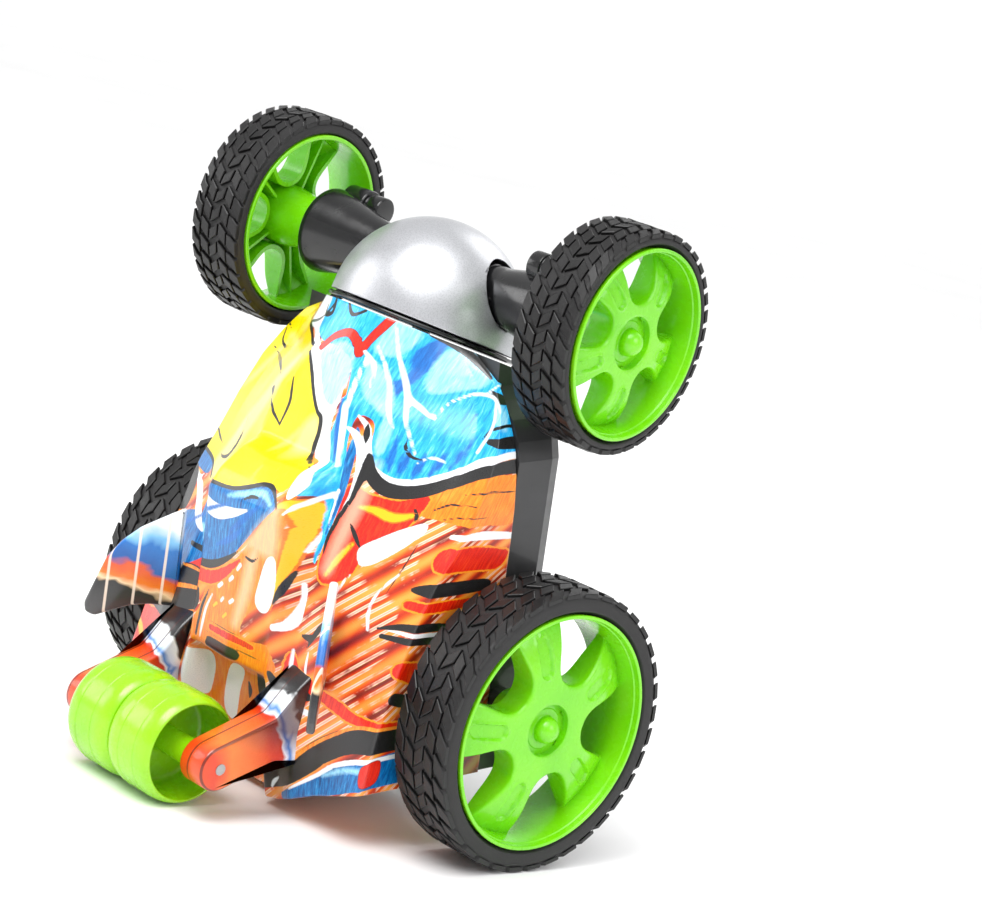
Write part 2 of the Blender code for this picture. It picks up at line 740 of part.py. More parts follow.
def make_tray():
    height = SPLIT_Z + 10 * MM - TRAY_BOTTOM_Z
    middle = TRAY_BOTTOM_Z + height / 2
    tray = plate("chassis_tray", tray_outline(0.0), height, MAT["black"], CAR, place(z=middle))
    rounding = tray.modifiers.new("edges", "BEVEL")
    rounding.width = TRAY_EDGE_RADIUS
    rounding.segments = 2
    rounding.limit_method = "ANGLE"
    rounding.angle_limit = radians(75.0)
    add_axle_bosses(tray)
    top = box("tray_top", (-80 * MM, -60 * MM, SPLIT_Z - GAP), (80 * MM, 140 * MM, 40 * MM),
              None, CAR, collection=HELPERS)
    cut(tray, top)
    front = head_frame_block("tray_front", -40 * MM, BULKHEAD_FRONT, 90 * MM, -60 * MM, 60 * MM)
    cut(tray, front)
    hollow_spot = place(z=middle + TRAY_WALL)
    hollow = plate("tray_hollow", tray_outline(TRAY_WALL), height, None, CAR, hollow_spot, HELPERS)
    keep = head_frame_block("hollow_front", -40 * MM, BULKHEAD_FRONT + BULKHEAD_THICKNESS,
                            90 * MM, -60 * MM, 60 * MM)
    cut(hollow, keep)
    for side_name, side in SIDES:
        near = side * 16.0 * MM
        far = side * 70.0 * MM
        deck = box("deck_" + side_name, (min(near, far), 75.0 * MM, 2.0 * MM),
                   (max(near, far), 130 * MM, 40 * MM), None, CAR, collection=HELPERS)
        cut(hollow, deck)
    cut(tray, hollow)
    add_bulkhead(tray)
    add_tray_openings(tray)
    return tray


def add_bulkhead(tray):
    """The round upper half of the front wall, which fills the arch of the shell."""
    spot = Matrix.Translation((0, -BULKHEAD_FRONT - BULKHEAD_THICKNESS - 0.2 * MM, 0)) @ (
        Matrix.Rotation(-pi / 2, 4, "X")
    )
    disc = rod("bulkhead", DOME_RADIUS - 2.0 * MM, BULKHEAD_THICKNESS, None, HEAD_AXES, spot, 32)
    join(tray, disc)
    bore_spot = Matrix.Translation((0, -BULKHEAD_FRONT - 8 * MM, 0)) @ Matrix.Rotation(
        -pi / 2, 4, "X"
    )
    bore = rod("bulkhead_bore", HEAD_SHAFT_RADIUS + 0.1 * MM, 12 * MM, None, HEAD_AXES,
               bore_spot, 14, HELPERS)
    cut(tray, bore)


def add_axle_bosses(tray):
    """The bearing bosses that carry the rear axles through the side walls."""
    for side_name, side in SIDES:
        facing = outward(side)
        boss = rod("axle_boss_" + side_name, 5.0 * MM, 4.4 * MM, None, CAR,
                   place(side * (TRAY_HALF_WIDTH - 1.2 * MM), rotation=facing), 16)
        bore = rod("axle_bore_" + side_name, AXLE_RADIUS + 0.1 * MM, 12 * MM, None, CAR,
                   place(side * 45 * MM, rotation=facing), 14, HELPERS)
        join(tray, boss)
        cut(tray, bore)


BATTERY_HALF_WIDTH = 17.0 * MM
BATTERY_BACK_Y = 36.0 * MM
BATTERY_FRONT_Y = 62.0 * MM
SWITCH_Y = 8.0 * MM
SWITCH_TRAVEL = 2.5 * MM


def add_tray_openings(tray):
    door = box("door_opening",
               (-BATTERY_HALF_WIDTH - 1 * MM, BATTERY_BACK_Y - 1 * MM, TRAY_BOTTOM_Z - 5 * MM),
               (BATTERY_HALF_WIDTH + 1 * MM, BATTERY_FRONT_Y + 1 * MM, TRAY_BOTTOM_Z + 5 * MM),
               None, CAR, collection=HELPERS)
    slot = box("switch_slot", (-5.4 * MM, SWITCH_Y - 1.9 * MM, TRAY_BOTTOM_Z - 5 * MM),
               (5.4 * MM, SWITCH_Y + 1.9 * MM, TRAY_BOTTOM_Z + 5 * MM), None, CAR,
               collection=HELPERS)
    cut(tray, door, slot)
    for side_name, side in SIDES:
        for i, (x, y) in enumerate(SCREW_PLACES):
            spot = place(side * x, y, TRAY_BOTTOM_Z + 0.7 * MM)
            boss = rod(f"screw_boss_{side_name}_{i}", 4.2 * MM, 3.9 * MM, None, CAR, spot, 12)
            sink_spot = place(side * x, y, TRAY_BOTTOM_Z - 3 * MM)
            sink = rod(f"screw_sink_{side_name}_{i}", SCREW_HEAD_RADIUS + GAP, 5.4 * MM, None,
                       CAR, sink_spot, 12, HELPERS)
            hole = rod(f"screw_hole_{side_name}_{i}", SCREW_SHANK_RADIUS + 0.15 * MM, 12 * MM,
                       None, CAR, sink_spot, 8, HELPERS)
            join(tray, boss)
            cut(tray, sink, hole)


def make_battery_door():
    """The door in the tray's bottom, flush with it, with a thin lip all round on the inside."""
    low = (-BATTERY_HALF_WIDTH - 0.7 * MM, BATTERY_BACK_Y - 0.7 * MM, TRAY_BOTTOM_Z)
    high = (BATTERY_HALF_WIDTH + 0.7 * MM, BATTERY_FRONT_Y + 0.7 * MM, TRAY_BOTTOM_Z + TRAY_WALL)
    door = box("battery_door", low, high, MAT["black"], CAR)
    for i in range(3):
        y = BATTERY_BACK_Y + (6.0 + 2.4 * i) * MM
        groove = box(f"door_groove_{i}", (-7 * MM, y, TRAY_BOTTOM_Z - 1 * MM),
                     (7 * MM, y + 1.0 * MM, TRAY_BOTTOM_Z + 0.6 * MM), None, CAR,
                     collection=HELPERS)
        cut(door, groove)
    return door


def make_insides():
    box("battery_pack",
        (-BATTERY_HALF_WIDTH + 1 * MM, BATTERY_BACK_Y + 1 * MM, TRAY_BOTTOM_Z + 2.6 * MM),
        (BATTERY_HALF_WIDTH - 1 * MM, BATTERY_FRONT_Y - 1 * MM, 2.5 * MM),
        MAT["battery"], CAR, bevel=1.2 * MM)
    box("circuit_board", (-24 * MM, 37 * MM, 6.0 * MM), (24 * MM, 61 * MM, 7.6 * MM),
        MAT["board"], CAR)
    knob = box("power_switch",
               (-2.6 * MM - SWITCH_TRAVEL, SWITCH_Y - 1.6 * MM, TRAY_BOTTOM_Z - 0.9 * MM),
               (2.6 * MM - SWITCH_TRAVEL, SWITCH_Y + 1.6 * MM, TRAY_BOTTOM_Z + 3.6 * MM),
               MAT["grey"], CAR)
    foot = box("switch_foot",
               (-4.6 * MM - SWITCH_TRAVEL, SWITCH_Y - 3.2 * MM, TRAY_BOTTOM_Z + TRAY_WALL + GAP),
               (4.6 * MM - SWITCH_TRAVEL, SWITCH_Y + 3.2 * MM,
                TRAY_BOTTOM_Z + TRAY_WALL + GAP + 1.2 * MM),
               None, CAR)
    join(knob, foot)
    box("switch_body", (-10 * MM, SWITCH_Y - 4.6 * MM, TRAY_BOTTOM_Z + 5.6 * MM),
        (10 * MM, SWITCH_Y + 4.6 * MM, TRAY_BOTTOM_Z + 9.6 * MM), MAT["steel"], CAR)


def make_screws():
    head = 1.8 * MM
    length = 8.0 * MM
    profile = [
        (0.0, length),
        (SCREW_SHANK_RADIUS, length - 0.8 * MM),
        (SCREW_SHANK_RADIUS, head),
        (SCREW_HEAD_RADIUS, head),
        (SCREW_HEAD_RADIUS, 0.4 * MM),
        (SCREW_HEAD_RADIUS - 0.5 * MM, 0.0),
        (0.0, 0.0),
    ]
    for side_name, side in SIDES:
        for (x, y), end_name in zip(SCREW_PLACES, ("front", "rear")):
            spot = place(side * x, y, TRAY_BOTTOM_Z + 0.3 * MM)
            name = f"chassis_screw_{end_name}_{side_name}"
            turned(name, profile, MAT["steel"], CAR, spot, 10, False)


# ---------------------------------------------------------------- head


def make_dome():
    """The silver half-ball, open at the back, with a hole on each side for a housing."""
    skirt = DOME_EDGE - DOME_CENTRE
    angles = [radians(a) for a in (0, 10, 22, 34, 46, 58, 70, 80, 90)]
    inner_angles = [radians(a) for a in (90, 72, 54, 36, 18, 0)]
    inner_radius = DOME_RADIUS - DOME_WALL
    outer = [(DOME_RADIUS * sin(a), DOME_RADIUS * cos(a)) for a in angles]
    inner = [(inner_radius * sin(a), inner_radius * cos(a)) for a in inner_angles]
    profile = outer + [(DOME_RADIUS + 0.1 * MM, -skirt), (inner_radius, -skirt)] + inner
    spot = Matrix.Translation((0, -DOME_CENTRE, 0)) @ Matrix.Rotation(-pi / 2, 4, "X")
    dome = turned("head_dome", profile, MAT["silver"], HEAD, spot, 30, False)
    for side_name, side in SIDES:
        hole = rod("dome_hole_" + side_name, HOUSING_NARROW_RADIUS + 1.3 * MM, 20 * MM, None,
                   HEAD, place(side * 12 * MM, rotation=outward(side)), 24, HELPERS)
        cut(dome, hole)
    return dome


def make_head_base():
    """The black plate behind the dome, its shaft and the two saddles that hold the housings."""
    front = -DOME_EDGE - GAP
    back = front - BASE_THICKNESS
    along = Matrix.Rotation(-pi / 2, 4, "X")
    profile = [
        (0.0, front),
        (DOME_RADIUS + 0.5 * MM, front),
        (DOME_RADIUS + 0.5 * MM, back),
        (0.0, back),
    ]
    base = turned("head_base", profile, MAT["black"], HEAD, along, 30, False)
    for side_name, side in SIDES:
        near = side * 12.0 * MM
        far = side * 17.0 * MM
        saddle = box("saddle_" + side_name,
                     (min(near, far), front - 0.7 * MM, -6 * MM),
                     (max(near, far), -HOUSING_NARROW_RADIUS + 2.0 * MM, 6 * MM), None, HEAD)
        seat = rod("saddle_seat_" + side_name, HOUSING_NARROW_RADIUS + GAP, 12 * MM, None, HEAD,
                   place(side * 8 * MM, rotation=outward(side)), 20, HELPERS)
        cut(saddle, seat)
        join(base, saddle)
    key_spot = Matrix.Translation((0, front - 0.9 * MM, 0)) @ Matrix.Rotation(pi / 2, 4, "X")
    socket = rod("shaft_socket", HEAD_SHAFT_RADIUS - 0.1 * MM, 4 * MM, None, HEAD,
                 key_spot, 14, HELPERS)
    cut(base, socket)
    shaft_start = front - 0.9 * MM - GAP
    shaft_end = -34.0 * MM
    shaft_spot = Matrix.Translation((0, shaft_start, 0)) @ Matrix.Rotation(pi / 2, 4, "X")
    rod("head_shaft", HEAD_SHAFT_RADIUS - 0.4 * MM, shaft_start - shaft_end, MAT["steel"],
        HEAD, shaft_spot, 14)
    gear_spot = Matrix.Translation((0, -23.4 * MM, 0)) @ along
    make_gear("head_gear", HEAD_GEAR_RADIUS, 20, 3.0 * MM, HEAD_SHAFT_RADIUS - 0.25 * MM,
              MAT["nylon"], HEAD, gear_spot)
    return base


def make_head_drive():
    """The motor that turns the head, and its pinion, fixed in the body above the head gear."""
    rise = HEAD_GEAR_RADIUS + HEAD_PINION_RADIUS + 0.3 * MM
    along = Matrix.Rotation(-pi / 2, 4, "X")
    motor_face = -26.4 * MM
    make_motor("twist_motor", HEAD_AXES, place(0, motor_face, rise, along), 4.6 * MM)
    make_gear("twist_pinion", HEAD_PINION_RADIUS, 8, 2.6 * MM, 1.05 * MM, MAT["brass"],
              HEAD_AXES, place(0, -23.4 * MM, rise, along))


def make_housing(side_name, side):
    """One flared black housing of the front axle, with its round lug."""
    inner_x = 0.6 * MM
    bore = AXLE_RADIUS + 0.1 * MM
    profile = [
        (bore, HOUSING_WIDE_X - 1.0 * MM),
        (HOUSING_WIDE_RADIUS - 2.0 * MM, HOUSING_WIDE_X - 1.0 * MM),
        (HOUSING_WIDE_RADIUS - 1.4 * MM, HOUSING_WIDE_X),
        (HOUSING_WIDE_RADIUS, HOUSING_WIDE_X),
        (HOUSING_WIDE_RADIUS, HOUSING_WIDE_X - 1.2 * MM),
        (HOUSING_NARROW_RADIUS + 0.4 * MM, HOUSING_NARROW_X + 1.0 * MM),
        (HOUSING_NARROW_RADIUS, HOUSING_NARROW_X - 1.0 * MM),
        (HOUSING_NARROW_RADIUS, inner_x),
        (bore, inner_x),
    ]
    housing = turned(f"axle_housing_{side_name}", profile, MAT["black"], HEAD, outward(side), 22)
    lug_profile = [
        (0.0, 13.0 * MM),
        (3.9 * MM, 13.0 * MM),
        (3.9 * MM, 8.6 * MM),
        (3.3 * MM, 8.2 * MM),
        (4.5 * MM, 7.6 * MM),
        (4.5 * MM, 0.0),
        (0.0, 0.0),
    ]
    lug_spot = place(side * 44.4 * MM, 10.0 * MM, side * 6.0 * MM, outward(-side))
    lug = turned("lug_" + side_name, lug_profile, None, HEAD, lug_spot, 12, False)
    join(housing, lug)
    return housing


def make_front_axle():
    half = FRONT_TRACK / 2 + FRONT_RIM_PROUD - CAP_FLOOR - GAP
    rod("front_axle", AXLE_RADIUS, 2 * half, MAT["steel"], HEAD, place(-half, rotation=outward(1)))


def make_head():
    make_dome()
    make_head_base()
    make_front_axle()
    for side_name, side in SIDES:
        make_housing(side_name, side)
        make_wheel("front", side_name, side, HEAD, FRONT_TRACK, FRONT_TYRE_RADIUS,
                   FRONT_RIM_RADIUS, FRONT_TYRE_WIDTH, FRONT_RIM_PROUD, FRONT_PHASE[side],
                   -5.6 * MM)


# ---------------------------------------------------------------- tail rollers


def make_rollers():
    """Two barrels side by side on one steel pin, each with a cupped outer end and a hub."""
    width = ROLLER_OUTER_X - GAP / 2
    radius = ROLLER_RADIUS
    bore = AXLE_RADIUS + 0.1 * MM
    profile = [
        (bore, width + 2.2 * MM),
        (3.6 * MM, width + 2.2 * MM),
        (3.6 * MM, 5.0 * MM),
        (radius - 2.2 * MM, 5.0 * MM),
        (radius - 2.0 * MM, width),
        (radius - 0.9 * MM, width),
        (radius, width - 1.2 * MM),
        (radius, 1.0 * MM),
        (radius - 0.9 * MM, 0.0),
        (bore, 0.0),
    ]
    for side_name, side in SIDES:
        spot = place(side * GAP / 2, ROLLER_Y, ROLLER_Z, outward(side))
        turned(f"tail_roller_{side_name}", profile, MAT["green"], CAR, spot, 24)
    start = place(-ARM_OUTER_X - 0.2 * MM, ROLLER_Y, ROLLER_Z, outward(1))
    rod("roller_pin", AXLE_RADIUS, 2 * ARM_OUTER_X + 0.4 * MM, MAT["steel"], CAR, start)


# ---------------------------------------------------------------- assembly

clear_scene()
PARTS = make_collection("stunt_car")
HELPERS = make_collection("cutters")
HELPERS.hide_render = True
SIDES = (("left", -1), ("right", 1))

MAT = {
    "green": make_material("lime_plastic", GREEN, 0.22),
    "black": make_material("black_plastic", BLACK, 0.25),
    "rubber": make_material("tyre_rubber", RUBBER, 0.7),
    "silver": make_material("silver_paint", SILVER, 0.35, 0.6),
    "steel": make_material("steel", STEEL, 0.3, 1.0),
    "brass": make_material("brass", BRASS, 0.35, 1.0),
    "nylon": make_material("white_nylon", WHITE_NYLON, 0.5),
    "print": make_material("printed_shell", PRINT_BLUE, 0.2),
    "grey": make_material("grey_plastic", (0.1, 0.1, 0.11), 0.5),
    "board": make_material("circuit_board", (0.01, 0.12, 0.04), 0.5),
    "battery": make_material("battery_wrap", (0.05, 0.1, 0.35), 0.4),
}

CAR = add_empty("car", None, place(y=REAR_AXLE_Y, z=REAR_TYRE_RADIUS,
                                   rotation=Matrix.Rotation(STAND_ANGLE, 4, "X")))
HEAD_AXES = add_empty("head_axes", CAR, place(0, HEAD_Y, HEAD_Z, Matrix.Rotation(-HEAD_DIP, 4, "X")))
HEAD = add_empty("head", HEAD_AXES, Matrix.Rotation(HEAD_TWIST, 4, "Y"))

make_shell()
make_tray()
make_battery_door()
make_insides()
make_screws()
make_rollers()
make_head()
make_head_drive()
for drive_side_name, drive_side in SIDES:
    make_drive(drive_side_name, drive_side)
    make_wheel("rear", drive_side_name, drive_side, CAR, REAR_TRACK, REAR_TYRE_RADIUS,
               REAR_RIM_RADIUS, REAR_TYRE_WIDTH, 0.0, REAR_PHASE[drive_side], 0.5 * MM)

bpy.context.view_layer.update()
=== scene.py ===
"""Looks of the small tumbling stunt car, which stands on its rear wheels and tail rollers.

Everything is in metres in the CAD world frame, +Z up. The car's own axes are CAR (X right,
Y forward, Z up, origin on the rear axle) and the head's are HEAD (X along the front axle,
Y along the axis that the head turns about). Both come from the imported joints.
"""

import json
from math import atan2, cos, pi, radians, sin, sqrt, tan

import bmesh
import bpy
import numpy as np
from mathutils import Matrix, Vector


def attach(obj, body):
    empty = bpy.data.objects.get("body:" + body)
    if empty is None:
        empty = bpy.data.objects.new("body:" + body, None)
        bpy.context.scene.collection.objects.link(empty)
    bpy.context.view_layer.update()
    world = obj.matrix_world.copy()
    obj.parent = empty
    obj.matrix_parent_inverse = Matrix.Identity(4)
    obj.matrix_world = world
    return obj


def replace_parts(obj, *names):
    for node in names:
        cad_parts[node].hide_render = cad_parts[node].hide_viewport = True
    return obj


MM = 0.001
SIDES = (("left", -1), ("right", 1))

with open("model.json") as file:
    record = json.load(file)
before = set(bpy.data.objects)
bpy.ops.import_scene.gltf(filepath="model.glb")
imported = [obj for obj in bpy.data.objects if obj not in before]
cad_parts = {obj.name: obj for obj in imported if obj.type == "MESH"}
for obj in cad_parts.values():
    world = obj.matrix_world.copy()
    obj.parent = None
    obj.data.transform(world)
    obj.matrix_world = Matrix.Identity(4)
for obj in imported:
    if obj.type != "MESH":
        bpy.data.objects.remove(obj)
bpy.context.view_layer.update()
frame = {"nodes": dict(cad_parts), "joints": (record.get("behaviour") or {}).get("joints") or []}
JOINTS = {joint["name"]: joint for joint in frame["joints"]}

# ---------------------------------------------------------------- axes taken from the frame

HEAD_DIP = radians(19.5)
TWIST_AXIS = Vector(JOINTS["head_twist"]["axis"])
STAND_ANGLE = atan2(TWIST_AXIS.z, TWIST_AXIS.y) + HEAD_DIP
CAR = Matrix.Translation(JOINTS["rear_wheel_right_spin"]["pos_m"]) @ Matrix.Rotation(
    STAND_ANGLE, 4, "X"
)
FRONT_AXLE = Vector(JOINTS["front_wheel_right_spin"]["axis"])
HEAD = Matrix.Translation(JOINTS["head_twist"]["pos_m"]) @ (
    Matrix((FRONT_AXLE, TWIST_AXIS, FRONT_AXLE.cross(TWIST_AXIS))).transposed().to_4x4()
)


def outward(side):
    """Turns local Z to point along +X (side 1) or -X (side -1)."""
    return Matrix.Rotation(side * pi / 2, 4, "Y")


# ---------------------------------------------------------------- shader graphs


def rgb(red, green, blue):
    """A colour given as it looks on a screen, from 0 to 255, in linear light."""
    values = [c / 255 for c in (red, green, blue)]
    linear = [c / 12.92 if c <= 0.04045 else ((c + 0.055) / 1.055) ** 2.4 for c in values]
    return (*linear, 1.0)


class Graph:
    """A material whose nodes are made by short calls. Sockets are passed between the calls."""

    def __init__(self, name, **settings):
        self.material = bpy.data.materials.new(name)
        self.material.use_nodes = True
        self.nodes = self.material.node_tree.nodes
        self.links = self.material.node_tree.links
        self.shader = self.nodes["Principled BSDF"]
        for key, value in settings.items():
            self.set(key.replace("_", " ").title().replace("Ior", "IOR"), value)

    def feed(self, socket, value):
        """Gives a socket a number, a colour or another node's output."""
        if isinstance(value, bpy.types.NodeSocket):
            self.links.new(value, socket)
        else:
            socket.default_value = value

    def set(self, name, value):
        self.feed(self.shader.inputs[name], value)

    def math(self, operation, a, b):
        node = self.nodes.new("ShaderNodeMath")
        node.operation = operation
        self.feed(node.inputs[0], a)
        self.feed(node.inputs[1], b)
        return node.outputs[0]

    def turned(self, vector, degrees, scale=(1, 1, 1)):
        """The vector turned about Z and scaled."""
        mapping = self.nodes.new("ShaderNodeMapping")
        mapping.inputs["Rotation"].default_value = (0, 0, radians(degrees))
        mapping.inputs["Scale"].default_value = scale
        self.links.new(vector, mapping.inputs["Vector"])
        return mapping.outputs[0]

    def place(self, scale=(1, 1, 1)):
        """The object's own coordinates, scaled."""
        return self.turned(self.nodes.new("ShaderNodeTexCoord").outputs["Object"], 0, scale)

    def noise(self, scale, detail=4.0, roughness=0.5, vector=None, distortion=0.0):
        node = self.nodes.new("ShaderNodeTexNoise")
        node.inputs["Scale"].default_value = scale
        node.inputs["Detail"].default_value = detail
        node.inputs["Roughness"].default_value = roughness
        node.inputs["Distortion"].default_value = distortion
        self.feed(node.inputs["Vector"], vector or self.place())
        return node.outputs["Fac"]

    def cells(self, scale):
        node = self.nodes.new("ShaderNodeTexVoronoi")
        node.inputs["Scale"].default_value = scale
        self.feed(node.inputs["Vector"], self.place())
        return node.outputs["Distance"]

    def wave(self, scale, distortion, vector, detail=2.0, detail_scale=1.0):
        node = self.nodes.new("ShaderNodeTexWave")
        node.inputs["Detail Scale"].default_value = detail_scale
        node.inputs["Scale"].default_value = scale
        node.inputs["Distortion"].default_value = distortion
        node.inputs["Detail"].default_value = detail
        self.feed(node.inputs["Vector"], vector)
        return node.outputs["Fac"]

    def span(self, value, low, high, start=0.0, end=1.0):
        """The value moved from the span low to high onto the span start to end."""
        node = self.nodes.new("ShaderNodeMapRange")
        self.feed(node.inputs["Value"], value)
        ends = (("From Min", low), ("From Max", high), ("To Min", start), ("To Max", end))
        for key, number in ends:
            node.inputs[key].default_value = number
        return node.outputs[0]

    def ramp(self, value, stops):
        """A colour ramp with stops of (position, colour)."""
        node = self.nodes.new("ShaderNodeValToRGB")
        elements = node.color_ramp.elements
        elements[0].position, elements[0].color = stops[0]
        elements[1].position, elements[1].color = stops[-1]
        for position, colour in stops[1:-1]:
            elements.new(position).color = colour
        self.feed(node.inputs["Fac"], value)
        return node.outputs["Color"]

    def mix(self, factor, a, b):
        node = self.nodes.new("ShaderNodeMix")
        node.data_type = "RGBA"
        self.feed(node.inputs["Factor"], factor)
        self.feed(node.inputs[6], a)
        self.feed(node.inputs[7], b)
        return node.outputs[2]

    def brightened(self, colour, amount):
        node = self.nodes.new("ShaderNodeHueSaturation")
        self.links.new(colour, node.inputs["Color"])
        self.links.new(amount, node.inputs["Value"])
        return node.outputs[0]

    def attribute(self, name, output="Fac"):
        node = self.nodes.new("ShaderNodeAttribute")
        node.attribute_name = name
        return node.outputs[output]

    def bump(self, height, distance, strength):
        """Gives the shader a bump of that depth, in metres."""
        node = self.nodes.new("ShaderNodeBump")
        node.inputs["Strength"].default_value = strength
        node.inputs["Distance"].default_value = distance
        self.links.new(height, node.inputs["Height"])
        self.set("Normal", node.outputs[0])


# ---------------------------------------------------------------- materials


def lime_plastic(name="lime_plastic", lift=0):
    """Glossy green plastic, yellower and lighter by lift."""
    g = Graph(name, ior=1.5, coat_weight=0.35, coat_roughness=0.12)
    cloud = g.noise(55, 5)
    g.set("Base Color", g.ramp(cloud, [
        (0.25, rgb(104 + lift, 200, 4)), (0.5, rgb(118 + lift, 212, 8)),
        (0.8, rgb(134 + lift, 220, 20))]))
    g.set("Roughness", g.span(g.noise(420, 4), 0.3, 0.7, 0.2, 0.33))
    g.bump(g.noise(900, 3), 0.00003, 0.35)
    return g.material


def black_gloss(name="black_gloss", shade=17, low=0.16, high=0.32):
    g = Graph(name, ior=1.5, coat_weight=0.3, coat_roughness=0.08)
    scuffs = g.noise(260, 6, 0.65, g.place((1, 0.15, 1)))
    g.set("Base Color", g.ramp(g.noise(80, 4), [(0.3, rgb(shade - 3, shade - 3, shade - 2)),
                                                (0.7, rgb(shade + 4, shade + 4, shade + 6))]))
    g.set("Roughness", g.span(scuffs, 0.35, 0.75, low, high))
    g.bump(g.noise(700, 4), 0.00004, 0.4)
    return g.material


def tyre_rubber(name, shade, roughness):
    g = Graph(name, ior=1.48)
    dust = g.noise(130, 7, 0.7)
    specks = g.span(g.cells(900), 0.0, 0.08, 1.0, 0.0)
    grey = g.ramp(dust, [(0.3, rgb(shade - 6, shade - 7, shade - 7)),
                         (0.75, rgb(shade + 9, shade + 8, shade + 9))])
    g.set("Base Color", g.mix(g.math("MULTIPLY", specks, 0.35), grey, rgb(120, 120, 122)))
    g.set("Roughness", g.span(dust, 0.3, 0.8, roughness - 0.08, roughness + 0.1))
    g.bump(g.noise(1500, 5, 0.7), 0.00006, 0.6)
    return g.material


def silver_paint():
    g = Graph("silver_paint", metallic=0.75, coat_weight=0.25, coat_roughness=0.3)
    flakes = g.cells(2600)
    g.set("Base Color", g.ramp(flakes, [(0.0, rgb(172, 174, 178)), (0.6, rgb(198, 199, 203))]))
    g.set("Roughness", g.span(g.noise(90, 5), 0.3, 0.7, 0.34, 0.44))
    g.bump(g.noise(1900, 3), 0.00003, 0.35)
    return g.material


def metal(name, colour, dark, roughness):
    g = Graph(name, metallic=1.0)
    brushed = g.noise(300, 4, 0.6, g.place((1, 1, 60)))
    g.set("Base Color", g.ramp(brushed, [(0.3, dark), (0.7, colour)]))
    g.set("Roughness", g.span(brushed, 0.3, 0.7, roughness - 0.06, roughness + 0.1))
    g.bump(brushed, 0.00002, 0.4)
    return g.material


def plain_plastic(name, colour, dark, roughness):
    g = Graph(name, ior=1.47)
    g.set("Base Color", g.ramp(g.noise(120, 5), [(0.3, dark), (0.7, colour)]))
    g.set("Roughness", g.span(g.noise(500, 3), 0.3, 0.7, roughness - 0.05, roughness + 0.08))
    g.bump(g.noise(900, 4), 0.00004, 0.5)
    return g.material


def circuit_board():
    g = Graph("board_green", ior=1.5, coat_weight=0.4)
    tracks = g.wave(180, 3.5, g.place(), 1.0)
    g.set("Base Color", g.ramp(tracks, [(0.45, rgb(12, 70, 36)), (0.55, rgb(30, 110, 58))]))
    g.set("Roughness", g.span(g.noise(300, 3), 0.3, 0.7, 0.3, 0.45))
    g.bump(tracks, 0.00005, 0.6)
    return g.material


def battery_wrap():
    g = Graph("battery_wrap", ior=1.5, coat_weight=0.5)
    g.set("Base Color", g.ramp(g.noise(90, 4), [(0.3, rgb(30, 62, 150)), (0.7, rgb(48, 90, 190))]))
    g.set("Roughness", g.span(g.noise(350, 4), 0.3, 0.7, 0.25, 0.4))
    g.bump(g.wave(70, 1.2, g.place()), 0.0001, 0.4)
    return g.material


# ---------------------------------------------------------------- mesh helpers


def link(obj):
    bpy.context.scene.collection.objects.link(obj)
    return obj


def smooth_shading(mesh, angle):
    mesh.shade_smooth()
    mesh.set_sharp_from_angle(angle=radians(angle))


def piece(name, points, faces, material, body, angle=38.0, weld=0.0, outwards=True):
    """A mesh object in the world frame that rides on a body."""
    mesh = bpy.data.meshes.new(name)
    mesh.from_pydata([tuple(p) for p in points], [], faces)
    if weld or outwards:
        shape = bmesh.new()
        shape.from_mesh(mesh)
        if weld:
            bmesh.ops.remove_doubles(shape, verts=shape.verts, dist=weld)
            bmesh.ops.dissolve_degenerate(shape, edges=shape.edges, dist=weld / 2)
        if outwards:
            bmesh.ops.recalc_face_normals(shape, faces=shape.faces)
        shape.to_mesh(mesh)
        shape.free()
    mesh.materials.append(material)
    smooth_shading(mesh, angle)
    obj = link(bpy.data.objects.new(name, mesh))
    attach(obj, body)
    return obj


def bands_between(levels, count):
    """Faces between closed rings of count points that follow one another."""
    faces = []
    for start in range(0, levels * count, count):
        for i in range(count):
            j = (i + 1) % count
            faces.append((start + i, start + j, start + count + j, start + count + i))
    return faces


def transformed(matrix, points):
    return np.asarray(points) @ np.array(matrix.to_3x3()).T + np.array(matrix.translation)


def rounded(outline, radius=0.4 * MM, steps=3, closed=True):
    """The outline with its corners rounded. A point's third number is its own radius."""
    points = [Vector(p[:2]) for p in outline]
    count = len(points)
    result = []
    for i, point in enumerate(points):
        ends = not closed and i in (0, count - 1)
        reach = outline[i][2] if len(outline[i]) > 2 else radius
        before = points[i - 1] - point
        after = points[(i + 1) % count] - point
        if ends or reach == 0 or before.length == 0 or after.length == 0:
            result.append(tuple(point))
            continue
        reach = min(reach, 0.48 * before.length, 0.48 * after.length)
        start = point + before.normalized() * reach
        end = point + after.normalized() * reach
        for k in range(steps + 1):
            t = k / steps
            result.append(tuple(start * (1 - t) ** 2 + point * 2 * t * (1 - t) + end * t * t))
    return result


def lathe_mesh(profile, segments, closed):
    """Points and faces of a profile of (radius, height) turned about Z."""
    angles = np.arange(segments) * 2 * pi / segments
    radius, height = np.array([p[:2] for p in profile]).T
    points = np.stack([np.outer(np.cos(angles), radius), np.outer(np.sin(angles), radius),
                       np.tile(height, (segments, 1))], -1)
    count = len(profile)
    faces = []
    for i in range(segments):
        here, there = i * count, (i + 1) % segments * count
        for j in range(count if closed else count - 1):
            k = (j + 1) % count
            faces.append((here + j, here + k, there + k, there + j))
    return points.reshape(-1, 3), faces


def lathe(name, profile, matrix, material, body, segments=96, closed=True, angle=38.0):
    points, faces = lathe_mesh(profile, segments, closed)
    return piece(name, transformed(matrix, points), faces, material, body, angle, 1e-7)


def merged(parts):
    """Several (points, faces) as one."""
    points, faces, start = [], [], 0
    for some, more in parts:
        points.append(np.asarray(some, float))
        faces += [tuple(i + start for i in face) for face in more]
        start += len(some)
    return np.concatenate(points), faces


